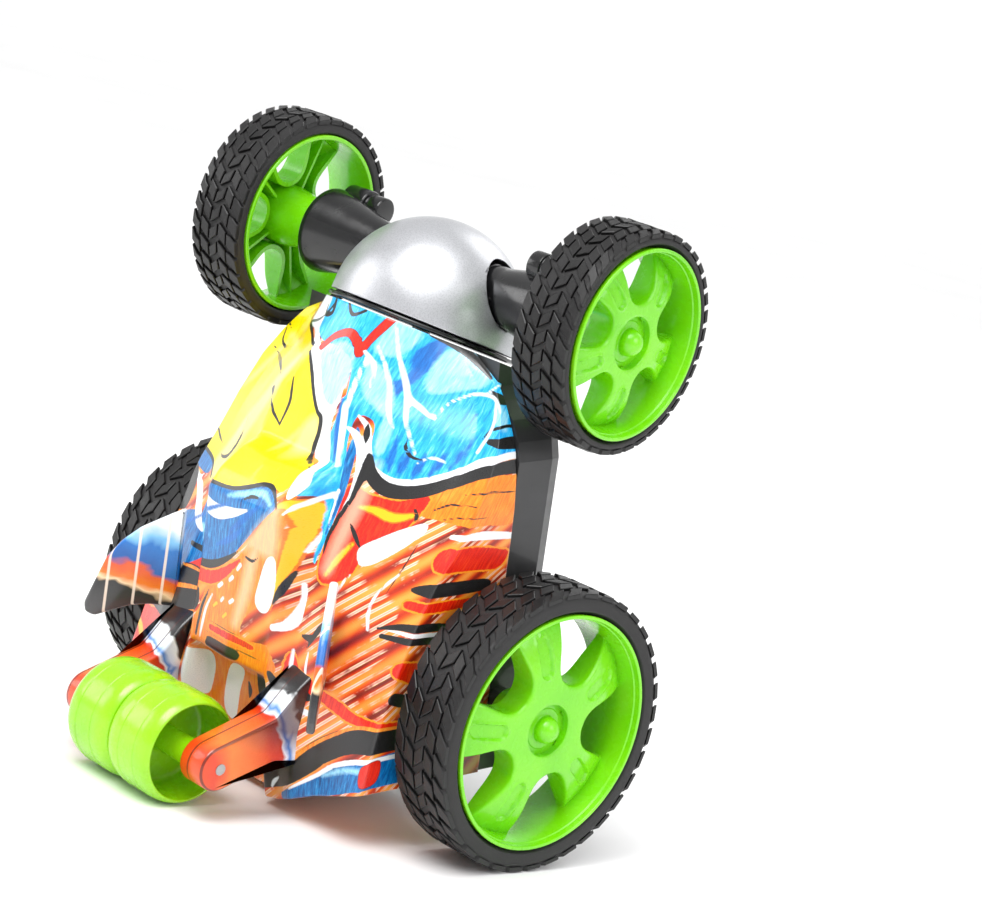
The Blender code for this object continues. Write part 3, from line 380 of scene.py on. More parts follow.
def curve_through(points, closed, steps=6):
    """A smooth curve through the points."""
    points = np.array(points, float)
    count = len(points)
    if closed:
        padded = np.concatenate([points[-1:], points, points[:2]])
    else:
        padded = np.concatenate([points[:1], points, points[-1:]])
    result = []
    for i in range(count if closed else count - 1):
        a, b, c, d = padded[i:i + 4]
        for t in np.arange(steps) / steps:
            result.append(0.5 * (2 * b + (c - a) * t + (2 * a - 5 * b + 4 * c - d) * t * t
                                 + (3 * b - a - 3 * c + d) * t**3))
    if not closed:
        result.append(points[-1])
    return np.array(result)


# ---------------------------------------------------------------- wheels

RIM_SCALE = 31.8 * MM  # radius of the rear rim, for which sizes on the spokes are given
HUB_SINK = 2.0 * MM
WEB_BACK = 9.6 * MM
HUB_RADIUS = 7.0 * MM
CAP_FLOOR = 5.0 * MM
HUB_FILLET = 0.7 * MM
SPOKE_FILLET = 0.85 * MM
SPOKE_DISH = 5.2 * MM  # how far the spokes fall back from the hub to the rim
AXLE_RADIUS = 1.5 * MM
SPOKES = 5
GAP = 0.3 * MM
TREAD_DEPTH = 0.85 * MM
TREAD_PITCHES = 36

# One pitch of the tread as blocks of (across, along) corners. Across runs over the tyre's
# width from 0 at the inner side to 1, and along over one pitch.
TREAD_BLOCKS = (
    ((0.00, -0.50), (0.19, 0.08), (0.19, 0.66), (0.10, 0.60), (0.00, 0.30)),
    ((0.22, 0.02), (0.385, 0.42), (0.385, 1.12), (0.22, 0.74)),
    ((0.42, 0.42), (0.58, 0.02), (0.58, 0.62), (0.42, 1.02)),
    ((0.61, 0.10), (0.775, 0.50), (0.775, 1.18), (0.61, 0.80)),
    ((0.81, 0.08), (1.00, 0.66), (1.00, 1.36), (0.90, 0.96), (0.81, 0.74)),
)


def tread(radius, width):
    """The blocks round a tyre whose local Z = 0 is its inner face."""
    parts = []
    pitch = 2 * pi / TREAD_PITCHES
    base = radius - TREAD_DEPTH - 0.25 * MM
    rings = ((base, 0.05), (radius - 0.14 * MM, 0.0), (radius, -0.13))
    for turn in range(TREAD_PITCHES):
        for block in TREAD_BLOCKS:
            flat = np.array([(z * width, t * pitch * radius) for z, t in block])
            middle = flat.mean(0)
            points = []
            for ring, grow in rings:
                reach = np.linalg.norm(flat - middle, axis=1, keepdims=True)
                spread = middle + (flat - middle) * (1 + grow * 2.0 * MM / reach)
                angle = spread[:, 1] / radius + turn * pitch
                z = spread[:, 0].clip(0.05 * MM, width - 0.05 * MM)
                outer = np.minimum(z, width - z)
                drop = np.where(outer < 1.0 * MM, (1.0 * MM - outer) ** 2 / (2.0 * MM), 0.0)
                points += [((ring - d) * cos(a), (ring - d) * sin(a), h)
                           for a, h, d in zip(angle, z, drop)]
            count = len(block)
            top = tuple(range(2 * count, 3 * count))
            parts.append((points, [top] + bands_between(2, count)))
    return merged(parts)


def make_tyre(prefix, side_name, wheel, radius, rim_radius, width):
    """The carcass with a plain side wall and a dark gap round the rim, and the tread on it."""
    base = radius - TREAD_DEPTH
    seat = rim_radius - 0.5 * MM + GAP
    profile = rounded([
        (rim_radius + 0.55 * MM, width - 0.9 * MM, 0.3 * MM),
        (rim_radius + 1.0 * MM, width - 0.1 * MM, 0.3 * MM),
        (rim_radius + 1.35 * MM, width, 0.2 * MM),
        (base - 1.3 * MM, width, 0.9 * MM),
        (base, width - 1.0 * MM, 1.2 * MM),
        (base, 1.0 * MM, 1.2 * MM),
        (base - 1.3 * MM, 0.0, 0.9 * MM),
        (seat + 0.6 * MM, 0.0, 0.5 * MM),
        (seat, 0.6 * MM, 0.3 * MM),
        (seat, width - 2.1 * MM, 0.2 * MM),
    ], steps=4)
    body = f"{prefix}_wheel_{side_name}"
    node = f"{prefix}_tyre_{side_name}"
    wall = lathe(f"{prefix}_side_wall_{side_name}", profile, wheel, RUBBER_WALL, body, 144)
    points, faces = tread(radius, width)
    blocks = piece(f"{prefix}_tread_{side_name}", transformed(wheel, points), faces, RUBBER_TREAD,
                   body, 25.0)
    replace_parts(blocks, node)


# Half of one opening between two spokes of the rear rim, in millimetres along and across it.
WINDOW_SIDE = (
    (12.7, 0.0), (13.3, 2.7), (15.0, 4.9), (17.8, 6.4), (21.0, 7.5), (24.6, 8.8), (27.7, 9.9)
)


def window_reach(theta, centre, rim_radius):
    """Distance from a window's middle to its edge in each direction theta."""
    size = rim_radius / RIM_SCALE
    outer = rim_radius - 2.0 * MM
    side = curve_through([(x * size * MM, y * size * MM) for x, y in WINDOW_SIDE], False, 8)
    corner = atan2(side[-1][1], side[-1][0]) - 0.05
    arc = [(outer * cos(a), outer * sin(a)) for a in np.linspace(corner, 0, 10)]
    half = np.concatenate([side, arc]) - (centre, 0)
    angles = np.arctan2(half[:, 1], half[:, 0])
    reach = np.hypot(*half.T)
    folded = np.abs((theta + pi) % (2 * pi) - pi)
    return np.interp(folded, angles[::-1], reach[::-1])


def sector_reach(theta, centre, rim_radius):
    """Distance from a window's middle to the edge of its share of the rim."""
    half = pi / SPOKES
    outer = rim_radius - 1.4 * MM
    reach = []
    for angle in theta:
        x, y = cos(angle), abs(sin(angle))
        found = []
        b = centre * x
        found.append(-b + sqrt(b * b - centre * centre + outer * outer))
        bottom = y - x * tan(half)
        if bottom > 1e-9:
            found.append(centre * tan(half) / bottom)
        inside = b * b - centre * centre + HUB_RADIUS**2
        if inside > 0 and x < 0:
            found.append(-b - sqrt(inside))
        reach.append(min(found))
    return np.array(reach)


def spider(rim_radius, width):
    """One fifth of the spokes as a hollow-backed web round one window, whose middle is on +X.
    Local Z points outwards."""
    size = rim_radius / RIM_SCALE
    centre = 20.5 * size * MM
    count = 160
    web_thickness = 1.9 * MM
    theta = (np.arange(count) + 0.5) * 2 * pi / count
    edge = window_reach(theta, centre, rim_radius)
    edge = np.convolve(np.r_[edge[-1:], edge, edge[:1]], np.ones(3) / 3, "valid")
    limit = sector_reach(theta, centre, rim_radius)
    limit = np.maximum(limit, edge + 0.2 * MM)
    way = np.stack([np.cos(theta), np.sin(theta)], 1)
    rim_loop = np.array([centre, 0]) + way * edge[:, None]

    def edge_distance(flat):
        best = np.full(len(flat), 1.0)
        for a, b in zip(rim_loop, np.roll(rim_loop, -1, 0)):
            along = b - a
            t = (((flat - a) @ along) / (along @ along)).clip(0, 1)
            best = np.minimum(best, np.linalg.norm(flat - a - t[:, None] * along, axis=1))
        return best

    def top_height(radius):
        start, end = 12.0 * size * MM, rim_radius - 1.4 * MM
        share = ((radius - start) / (end - start)).clip(0, 1)
        return width - HUB_SINK - SPOKE_DISH * share**2.4

    def slot_dip(flat):
        """The long shallow slot on each spoke's middle line."""
        half = pi / SPOKES
        line = np.array([cos(half), sin(half)])
        mirrored = np.stack([flat[:, 0], np.abs(flat[:, 1])], 1)
        low, high = 16.9 * size * MM, 23.9 * size * MM
        t = (mirrored @ line).clip(low, high)
        away = np.linalg.norm(mirrored - t[:, None] * line, axis=1)
        share = ((2.15 * size * MM - away) / (0.5 * MM)).clip(0, 1)
        ridge = np.exp(-(((away - 2.35 * size * MM) / (0.3 * MM)) ** 2))
        return 0.75 * MM * share * share * (3 - 2 * share) - 0.2 * MM * ridge

    near = np.array([0, 0.08, 0.2, 0.4, 0.65, 0.95]) * MM
    steps = 20
    rows = []
    span = limit - edge
    for i in range(len(near) + steps):
        if i < len(near):
            out = np.minimum(near[i], span * (0.02 + 0.06 * i))
        else:
            start = np.minimum(near[-1], span * 0.3)
            out = start + (span - start) * (i - len(near) + 1) / steps
        rows.append(np.array([centre, 0]) + way * (edge + out)[:, None])
    top = []
    for flat in rows:
        radius = np.linalg.norm(flat, axis=1)
        away = edge_distance(flat)
        bend = (SPOKE_FILLET - away).clip(0, SPOKE_FILLET)
        hub = (HUB_FILLET - (radius - HUB_RADIUS)).clip(0, HUB_FILLET)
        height = top_height(radius) - slot_dip(flat)
        height -= SPOKE_FILLET - np.sqrt(SPOKE_FILLET**2 - bend**2)
        height -= HUB_FILLET - np.sqrt(HUB_FILLET**2 - hub**2)
        top.append(np.c_[flat, height])
    walls = []
    foot = width - WEB_BACK
    for share in (1.0, 0.85, 0.5, 0.12, 0.0):
        ring = top[0].copy()
        ring[:, 2] = foot + (ring[:, 2] - foot) * share
        walls.append(ring)
    back = []
    for out in (0.3, 0.9, 1.2, 1.32, 2.0, 3.2):
        step = np.minimum(out * MM, span * 0.98)
        flat = np.array([centre, 0]) + way * (edge + step)[:, None]
        radius = np.linalg.norm(flat, axis=1)
        hollow = (out > 1.25) * 1.0
        height = foot + hollow * (top_height(radius) - web_thickness - foot)
        back.append(np.c_[flat, height])
    flat = np.array([centre, 0]) + way * limit[:, None]
    back.append(np.c_[flat, top_height(np.linalg.norm(flat, axis=1)) - web_thickness])
    rings = top[::-1] + walls + back
    return np.concatenate(rings), bands_between(len(rings) - 1, count)


def turned_about_z(part, angle):
    points, faces = part
    spin = np.array(Matrix.Rotation(angle, 3, "Z"))
    return points @ spin.T, faces


def spoke_rib(rim_radius, width):
    """The stiffening rib on the back of one spoke, pointing along +X."""
    size = rim_radius / RIM_SCALE
    low, high = 6.6 * MM, rim_radius - 1.5 * MM
    thick = 0.55 * MM
    back = width - WEB_BACK + 0.6 * MM
    points = []
    for x in np.linspace(low, high, 9):
        share = max(0.0, (x - 12 * size * MM) / (rim_radius - 13.4 * size * MM))
        front = width - HUB_SINK - SPOKE_DISH * share**2.4 - 1.6 * MM
        for y, z in ((-thick, front), (-thick * 0.7, back), (thick * 0.7, back), (thick, front)):
            points.append((x, y, z))
    return np.array(points), bands_between(8, 4)


def make_rim(prefix, side_name, wheel, rim_radius, width, phase, boss_start):
    barrel = rounded([
        (rim_radius - 0.95 * MM, width, 0.3 * MM),
        (rim_radius, width, 0.35 * MM),
        (rim_radius, width - 1.2 * MM, 0.3 * MM),
        (rim_radius - 0.5 * MM, width - 1.7 * MM, 0.2 * MM),
        (rim_radius - 0.5 * MM, 0.0, 0.4 * MM),
        (rim_radius - 1.7 * MM, 0.0, 0.4 * MM),
        (rim_radius - 2.4 * MM, width - 10.0 * MM, 1.0 * MM),
        (rim_radius - 2.4 * MM, width - 7.0 * MM, 1.5 * MM),
        (rim_radius - 1.5 * MM, width - 1.75 * MM, 0.25 * MM),
        (rim_radius - 1.2 * MM, width - 1.6 * MM, 0.15 * MM),
    ], steps=4)
    bore = AXLE_RADIUS + 0.1 * MM
    hub = rounded([
        (HUB_RADIUS, width - HUB_SINK - 0.68 * MM, 0),
        (HUB_RADIUS, width - CAP_FLOOR, 0.3 * MM),
        (bore, width - CAP_FLOOR, 0),
        (bore, boss_start, 0.2 * MM),
        (6.2 * MM, boss_start, 0.6 * MM),
        (8.4 * MM, width - WEB_BACK, 0),
        (8.4 * MM, width - HUB_SINK - 0.06 * MM, 0),
        (HUB_RADIUS + 0.02 * MM, width - HUB_SINK - 0.06 * MM, 0.62 * MM),
    ])
    web = spider(rim_radius, width)
    rib = spoke_rib(rim_radius, width)
    parts = [lathe_mesh(barrel, 144, True), lathe_mesh(hub, 64, True)]
    for i in range(SPOKES):
        turn = radians(phase) + 2 * pi * i / SPOKES
        parts.append(turned_about_z(web, turn + pi / SPOKES))
        parts.append(turned_about_z(rib, turn))
    points, faces = merged(parts)
    rim = piece(f"{prefix}_rim_detail_{side_name}", transformed(wheel, points), faces, LIME,
                f"{prefix}_wheel_{side_name}", 42.0, 2e-6)
    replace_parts(rim, f"{prefix}_rim_{side_name}")


def make_cap(prefix, side_name, wheel, width):
    """The ball in its round recess, with a thin parting step at its foot."""
    floor = width - CAP_FLOOR + GAP
    ball = 3.6 * MM
    neck = floor + 1.5 * MM
    profile = [(ball * sin(a), neck + ball * cos(a)) for a in np.linspace(0, pi / 2, 14)]
    profile += rounded([
        (ball, floor + 1.5 * MM), (ball, floor + 0.8 * MM, 0.4 * MM),
        (5.4 * MM, floor + 0.8 * MM, 0.15 * MM), (5.6 * MM, floor + 0.55 * MM, 0.1 * MM),
        (HUB_RADIUS + 0.3 * MM, floor + 0.55 * MM), (HUB_RADIUS + 0.3 * MM, floor), (0.0, floor),
    ], closed=False)[1:]
    cap = lathe(f"{prefix}_ball_cap_{side_name}", profile, wheel, LIME,
                f"{prefix}_wheel_{side_name}", 64, False)
    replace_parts(cap, f"{prefix}_hub_cap_{side_name}")


WHEELS = {
    "rear": dict(axes=CAR, face=72.4 * MM, radius=38.0 * MM, rim=31.8 * MM, width=18.6 * MM,
                 proud=0.0, phase={1: 28.9, -1: 15.0}, boss=0.5 * MM),
    "front": dict(axes=HEAD, face=66.0 * MM, radius=29.5 * MM, rim=25.3 * MM, width=16.7 * MM,
                  proud=0.6 * MM, phase={1: -0.7, -1: 22.0}, boss=-5.6 * MM),
}


def make_wheels():
    for prefix, size in WHEELS.items():
        for side_name, side in SIDES:
            inner = side * (size["face"] - size["width"])
            wheel = size["axes"] @ Matrix.Translation((inner, 0, 0)) @ outward(side)
            wide = size["width"] + size["proud"]
            make_tyre(prefix, side_name, wheel, size["radius"], size["rim"], size["width"])
            make_rim(prefix, side_name, wheel, size["rim"], wide, size["phase"][side],
                     size["boss"])
            make_cap(prefix, side_name, wheel, wide)


# ---------------------------------------------------------------- tail rollers

ROLLER_RADIUS = 14.64 * MM
ROLLER_Y = -14.1 * MM
ROLLER_Z = 72.6 * MM
ROLLER_WIDTH = 17.35 * MM


def make_rollers():
    radius = ROLLER_RADIUS
    width = ROLLER_WIDTH

    def line(z):
        """A fine moulded line round the barrel."""
        depth = 0.14 * MM
        return [(radius, z + 0.3 * MM, 0.05 * MM), (radius - depth, z + 0.12 * MM, 0.03 * MM),
                (radius - depth, z - 0.12 * MM, 0.03 * MM), (radius, z - 0.3 * MM, 0.05 * MM)]

    profile = rounded([
        (AXLE_RADIUS + 0.1 * MM, width + 2.2 * MM, 0.1 * MM),
        (3.6 * MM, width + 2.2 * MM, 0.4 * MM),
        (3.6 * MM, 5.0 * MM, 0.8 * MM),
        (radius - 2.3 * MM, 5.0 * MM, 1.4 * MM),
        (radius - 1.9 * MM, width, 0.35 * MM),
        (radius - 1.35 * MM, width, 0.4 * MM),
        (radius - 0.35 * MM, width - 1.6 * MM, 1.6 * MM),
        (radius, width - 4.0 * MM, 1.2 * MM),
        *line(12.2 * MM), *line(6.0 * MM),
        (radius, 3.4 * MM, 1.2 * MM),
        (radius - 0.5 * MM, 1.3 * MM, 1.0 * MM),
        (radius - 1.4 * MM, 0.0, 0.4 * MM),
        (AXLE_RADIUS + 0.1 * MM, 0.0, 0.1 * MM),
    ], steps=5)
    for side_name, side in SIDES:
        spot = CAR @ Matrix.Translation((side * 0.15 * MM, ROLLER_Y, ROLLER_Z)) @ outward(side)
        roller = lathe(f"roller_barrel_{side_name}", profile, spot, ROLLER_LIME,
                       f"tail_roller_{side_name}", 128)
        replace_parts(roller, f"tail_roller_{side_name}")


# ---------------------------------------------------------------- head

DOME_RADIUS = 26.2 * MM
DOME_CENTRE = 12.0 * MM
DOME_WALL = 1.5 * MM
DOME_EDGE = 14.3 * MM
HOUSING_RADIUS = 7.2 * MM


def make_dome():
    skirt = DOME_EDGE - DOME_CENTRE
    inner = DOME_RADIUS - DOME_WALL
    outside = [(DOME_RADIUS * sin(a), DOME_RADIUS * cos(a)) for a in np.linspace(0, pi / 2, 36)]
    inside = [(inner * sin(a), inner * cos(a)) for a in np.linspace(pi / 2, 0, 24)]
    edge = rounded([
        (DOME_RADIUS, 0.0, 0), (DOME_RADIUS + 0.1 * MM, -skirt, 0.35 * MM),
        (inner, -skirt, 0.3 * MM), (inner, 0.0, 0),
    ], closed=False)[1:-1]
    spot = HEAD @ Matrix.Translation((0, -DOME_CENTRE, 0)) @ Matrix.Rotation(-pi / 2, 4, "X")
    dome = lathe("dome_shell", outside + edge + inside, spot, SILVER, "head", 120, False)
    cutters = []
    for side_name, side in SIDES:
        points, faces = lathe_mesh(
            [(0, 30 * MM), (HOUSING_RADIUS + 1.3 * MM, 30 * MM), (HOUSING_RADIUS + 1.3 * MM, 0),
             (0, 0)], 72, False)
        place = HEAD @ Matrix.Translation((side * 10 * MM, 0, 0)) @ outward(side)
        cutter = piece("dome_hole_" + side_name, transformed(place, points), faces, SILVER, "head",
                       38.0, 1e-7)
        hole = dome.modifiers.new("hole", "BOOLEAN")
        hole.operation = "DIFFERENCE"
        hole.solver = "EXACT"
        hole.object = cutter
        cutters.append(cutter)
    lip = dome.modifiers.new("lip", "BEVEL")
    lip.width = 0.32 * MM
    lip.segments = 3
    lip.limit_method = "ANGLE"
    lip.angle_limit = radians(50)
    lip.use_clamp_overlap = False
    bpy.context.view_layer.update()
    graph = bpy.context.evaluated_depsgraph_get()
    mesh = bpy.data.meshes.new_from_object(dome.evaluated_get(graph))
    dome.modifiers.clear()
    dome.data = mesh
    smooth_shading(mesh, 45.0)
    for cutter in cutters:
        bpy.data.objects.remove(cutter, do_unlink=True)
    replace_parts(dome, "head_dome")


def make_head_base():
    front = -DOME_EDGE - GAP
    back = front - 1.4 * MM
    radius = DOME_RADIUS + 0.5 * MM
    profile = rounded([
        (0.0, front, 0), (DOME_RADIUS - 2.4 * MM, front, 0.1 * MM),
        (DOME_RADIUS - 2.2 * MM, front - 0.25 * MM, 0.1 * MM),
        (radius - 0.2 * MM, front - 0.25 * MM, 0.3 * MM), (radius, back + 0.3 * MM, 0.3 * MM),
        (radius - 0.5 * MM, back, 0.2 * MM), (0.0, back, 0),
    ], closed=False)
    base = lathe("head_base_plate", profile, HEAD @ Matrix.Rotation(-pi / 2, 4, "X"), BLACK,
                 "head", 128, False)
    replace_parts(base, "head_base")


def make_housings():
    bore = AXLE_RADIUS + 0.1 * MM
    narrow = HOUSING_RADIUS
    wide = 11.7 * MM
    end = 43.0 * MM
    start = 22.0 * MM
    profile = rounded([
        (bore, end - 1.0 * MM, 0), (wide - 2.0 * MM, end - 1.0 * MM, 0.3 * MM),
        (wide - 1.4 * MM, end, 0.2 * MM), (wide, end, 0.3 * MM), (wide, end - 1.2 * MM, 0.5 * MM),
        (narrow + 0.4 * MM, start + 1.0 * MM, 0.8 * MM), (narrow, start - 1.0 * MM, 0.8 * MM),
        (narrow, 17.6 * MM, 0.1 * MM), (narrow - 0.25 * MM, 17.4 * MM, 0.1 * MM),
        (narrow - 0.25 * MM, 16.9 * MM, 0.1 * MM), (narrow, 16.7 * MM, 0.1 * MM),
        (narrow, 0.6 * MM, 0.4 * MM), (bore, 0.6 * MM, 0),
    ])
    lug = rounded([
        (0.0, 13.0 * MM), (3.9 * MM, 13.0 * MM, 0.5 * MM), (3.9 * MM, 9.0 * MM, 0.2 * MM),
        (3.3 * MM, 8.8 * MM, 0.2 * MM), (3.3 * MM, 7.8 * MM, 0.2 * MM),
        (4.5 * MM, 7.6 * MM, 0.4 * MM), (4.5 * MM, 0.0, 0.4 * MM), (3.0 * MM, 0.0, 0.2 * MM),
        (2.8 * MM, 0.6 * MM, 0.2 * MM), (0.0, 0.6 * MM),
    ], closed=False)
    for side_name, side in SIDES:
        spot = HEAD @ outward(side)
        lug_spot = HEAD @ Matrix.Translation((side * 44.4 * MM, 10.0 * MM, side * 6.0 * MM)) @ (
            outward(-side))
        body_points, body_faces = lathe_mesh(profile, 96, True)
        lug_points, lug_faces = lathe_mesh(lug, 48, False)
        points, faces = merged([(transformed(spot, body_points), body_faces),
                                (transformed(lug_spot, lug_points), lug_faces)])
        housing = piece(f"housing_{side_name}", points, faces, BLACK, "head", 38.0, 1e-7)
        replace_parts(housing, f"axle_housing_{side_name}")


# ---------------------------------------------------------------- body shell

# Feature lines of the right half of the shell, front to back, in millimetres of the car's
# axes: (y, x, z), or (y, z) in the middle and (y, x) at the foot.
CENTRE_LINE = ((84, 28.5), (72, 32.0), (60, 35.2), (57.6, 36.2), (56, 44.5), (50, 49.6),
               (45, 51.8), (24, 51.0), (2, 50.8), (0, 44.6), (-31, 41.0))
HOOD_LINE = ((84, 3.0, 28.6), (72, 8.0, 32.0), (60, 12.0, 34.2), (57.6, 12.6, 34.6),
             (56, 13.2, 42.0), (50, 13.8, 48.4), (45, 14.2, 50.8), (24, 14.2, 49.8),
             (2, 14.2, 49.6), (0, 14.2, 44.4), (-31, 14.2, 40.8))
RIB_LINE = ((84, 4.4, 28.6), (72, 10.4, 32.2), (60, 14.4, 34.4), (57.6, 15.0, 34.9),
            (56, 15.2, 38.4), (50, 15.4, 46.4), (45, 15.6, 50.0), (24, 15.8, 49.6),
            (2, 16.0, 50.2), (0, 16.2, 50.3), (-14, 17.2, 50.6), (-31, 17.6, 46.8))
RIDGE_LINE = ((84, 6.5, 28.3), (72, 12.8, 32.0), (60, 16.2, 33.8), (51, 16.8, 35.2),
              (39, 18.0, 39.0), (30.5, 19.0, 41.0), (19.7, 20.0, 43.4), (4, 21.2, 45.8),
              (-8, 22.0, 48.6), (-31, 22.4, 46.4))
SHOULDER_LINE = ((84, 33.0, 7.2), (76, 37.6, 8.6), (70, 40.6, 11.6), (60, 42.0, 17.6),
                 (54.7, 41.8, 21.2), (38.7, 40.2, 30.8), (25, 38.2, 38.4), (14, 36.4, 42.4),
                 (4, 35.2, 45.0), (-10, 35.0, 46.8), (-25, 35.0, 46.2))
EDGE_LINE = ((84, 38.2, 4.9), (77.5, 43.8, 6.4), (69.3, 48.0, 9.8), (58.4, 50.2, 14.8),
             (48, 50.9, 20.0), (40, 50.8, 25.2), (36, 50.5, 27.4), (26, 50.0, 31.4),
             (12, 49.6, 35.8), (-2, 49.8, 40.2), (-19, 50.4, 44.8))
FOOT_LINE = ((84, 38.8), (80, 42.2), (76, 44.8), (72, 46.9), (68, 48.6), (62, 50.0), (54, 50.9),
             (44, 51.2), (-19, 51.2))
TAIL = ((0, -31), (14.2, -31), (17.6, -30.6), (22.4, -29.6), (28.4, -27.0), (35, -23.8),
        (50.4, -18.2), (51.2, -17.91))
SPLIT = 4.0  # height at which the shell meets the tray
COLUMN_STEPS = (26, 5, 12, 12, 12, 32, 48)  # columns between the feature points
EDGE_COLUMN = 6
ROW_STEP = 0.55
ROWS = 178
FRONT_Y = 84
BACK_Y = -14


def reading(table, y):
    """Straight-line reading of rows (y, value...), which run from front to back."""
    table = np.array(table, float)[::-1]
    return [np.interp(y, table[:, 0], column) for column in table[:, 1:].T]


def shell_row(y):
    """The eight feature points of the cross-section at y, from the middle to the foot."""
    ridge, shoulder = reading(RIDGE_LINE, y), reading(SHOULDER_LINE, y)
    crown = ((ridge[0] + shoulder[0]) / 2, (ridge[1] + shoulder[1]) / 2 + 1.4)
    section = [(0.0, reading(CENTRE_LINE, y)[0]), reading(HOOD_LINE, y), reading(RIB_LINE, y),
               ridge, crown, shoulder, reading(EDGE_LINE, y), (reading(FOOT_LINE, y)[0], SPLIT)]
    return np.array([(x, y, z) for x, z in section])


def head_plane_y(z, behind):
    """Y of the plane square to the head's axis, behind the front axle by behind."""
    return 102.6 - behind / cos(HEAD_DIP) + (z + 8.5) * tan(HEAD_DIP)


def front_arch_row():
    """The shell's front edge, an arch round the dome."""
    behind, arch = 16.7, 26.8
    axis_z = -8.5 + behind * sin(HEAD_DIP)
    row = []
    for x in (0.0, 3.6, 5.6, 9.0, 18.5):
        z = axis_z + sqrt(arch**2 - x**2) * cos(HEAD_DIP)
        row.append((x, head_plane_y(z, behind), z))
    row += [(x, head_plane_y(z, behind), z) for x, z in ((25.0, 7.8), (27.5, 5.2), (28.9, SPLIT))]
    return np.array(row)


def tail_row():
    """The roof's back edge."""
    row = []
    for column, (x, y) in enumerate(TAIL):
        row.append((x, y, shell_row(y)[column][2] if column <= EDGE_COLUMN else SPLIT))
    return np.array(row)


def between(first, last, count):
    """Rows from first to last, without the last."""
    return [first + (last - first) * i / count for i in range(count)]


def soften(grid, passes):
    """A smoothed grid of points whose border stays where it is."""
    for _ in range(passes):
        inner = grid.copy()
        inner[1:-1] = (grid[:-2] + 2 * grid[1:-1] + grid[2:]) / 4
        result = inner.copy()
        result[:, 1:-1] = (inner[:, :-2] + 2 * inner[:, 1:-1] + inner[:, 2:]) / 4
        result[:, 0], result[:, -1] = grid[:, 0], grid[:, -1]
        grid = result
    return grid


def shell_grid():
    """The shell's surface as a grid of points, and where each lies on the flat print."""
    tail = tail_row()
    rows = between(front_arch_row(), shell_row(FRONT_Y), 28)
    rows += [shell_row(FRONT_Y - i * ROW_STEP) for i in range(ROWS)]
    rows += between(shell_row(BACK_Y), tail, 30)
    wall = tail.copy()
    wall[:, 2] = SPLIT
    points, flat = [], []
    for row in rows + between(tail, wall, 50) + [wall]:
        lowered = row[0][2] < tail[0][2] - 0.001 and row[0][1] <= -30.9
        dense = np.concatenate([
            np.array(between(a, b, n)) for a, b, n in zip(row, row[1:], COLUMN_STEPS)
        ] + [row[-1:]])
        start = sum(COLUMN_STEPS[:EDGE_COLUMN])
        across = dense[:, 0].copy()
        across[start:] = dense[start, 0] + dense[start, 2] - dense[start:, 2]
        along = dense[:, 1].copy()
        if lowered:
            across = dense[:, 0].copy()
            along -= (tail[0][2] - row[0][2])
        points.append(np.concatenate([dense[:0:-1] * (-1, 1, 1), dense]))
        flat.append(np.c_[np.r_[-across[:0:-1], across], np.r_[along[:0:-1], along]])
    return soften(np.array(points), 3), np.array(flat)


def line_distance(spots, curve, widths, closed):
    """Distance of each spot from the curve, less half the curve's width there."""
    ends = np.roll(curve, -1, 0) if closed else curve[1:]
    starts = curve if closed else curve[:-1]
    best = np.full(len(spots), 99.0)
    for i, (a, b) in enumerate(zip(starts, ends)):
        along = b - a
        length = max(along @ along, 1e-9)
        t = (((spots - a) @ along) / length).clip(0, 1)
        away = np.hypot(*(spots - a - t[:, None] * along).T)
        if widths is not None:
            away -= (widths[i] * (1 - t) + widths[i + 1] * t) / 2
        best = np.minimum(best, away)
    return best


def paint(layer, spots, shapes):
    """Depth inside the layer's shapes, in millimetres. A shape of pairs is a closed area, and
    one of triples is a stroke of (x, y, width)."""
    for shape in shapes:
        closed = len(shape[0]) == 2
        curve = curve_through(shape, closed)
        reach = 2.5 + (0 if closed else curve[:, 2].max() / 2)
        low, high = curve[:, :2].min(0) - reach, curve[:, :2].max(0) + reach
        near = ((spots > low) & (spots < high)).all(1)
        if not near.any():
            continue
        some = spots[near]
        if closed:
            depth = -line_distance(some, curve, None, True)
            inside = np.zeros(len(some), bool)
            for a, b in zip(curve, np.roll(curve, -1, 0)):
                if a[1] == b[1]:
                    continue
                crossing = (a[1] > some[:, 1]) != (b[1] > some[:, 1])
                where = a[0] + (some[:, 1] - a[1]) * (b[0] - a[0]) / (b[1] - a[1])
                inside ^= crossing & (some[:, 0] < where)
            depth = np.where(inside, -depth, depth)
        else:
            depth = -line_distance(some, curve[:, :2], curve[:, 2], False)
        layer[near] = np.maximum(layer[near], depth.clip(-2, 2))
    return layer


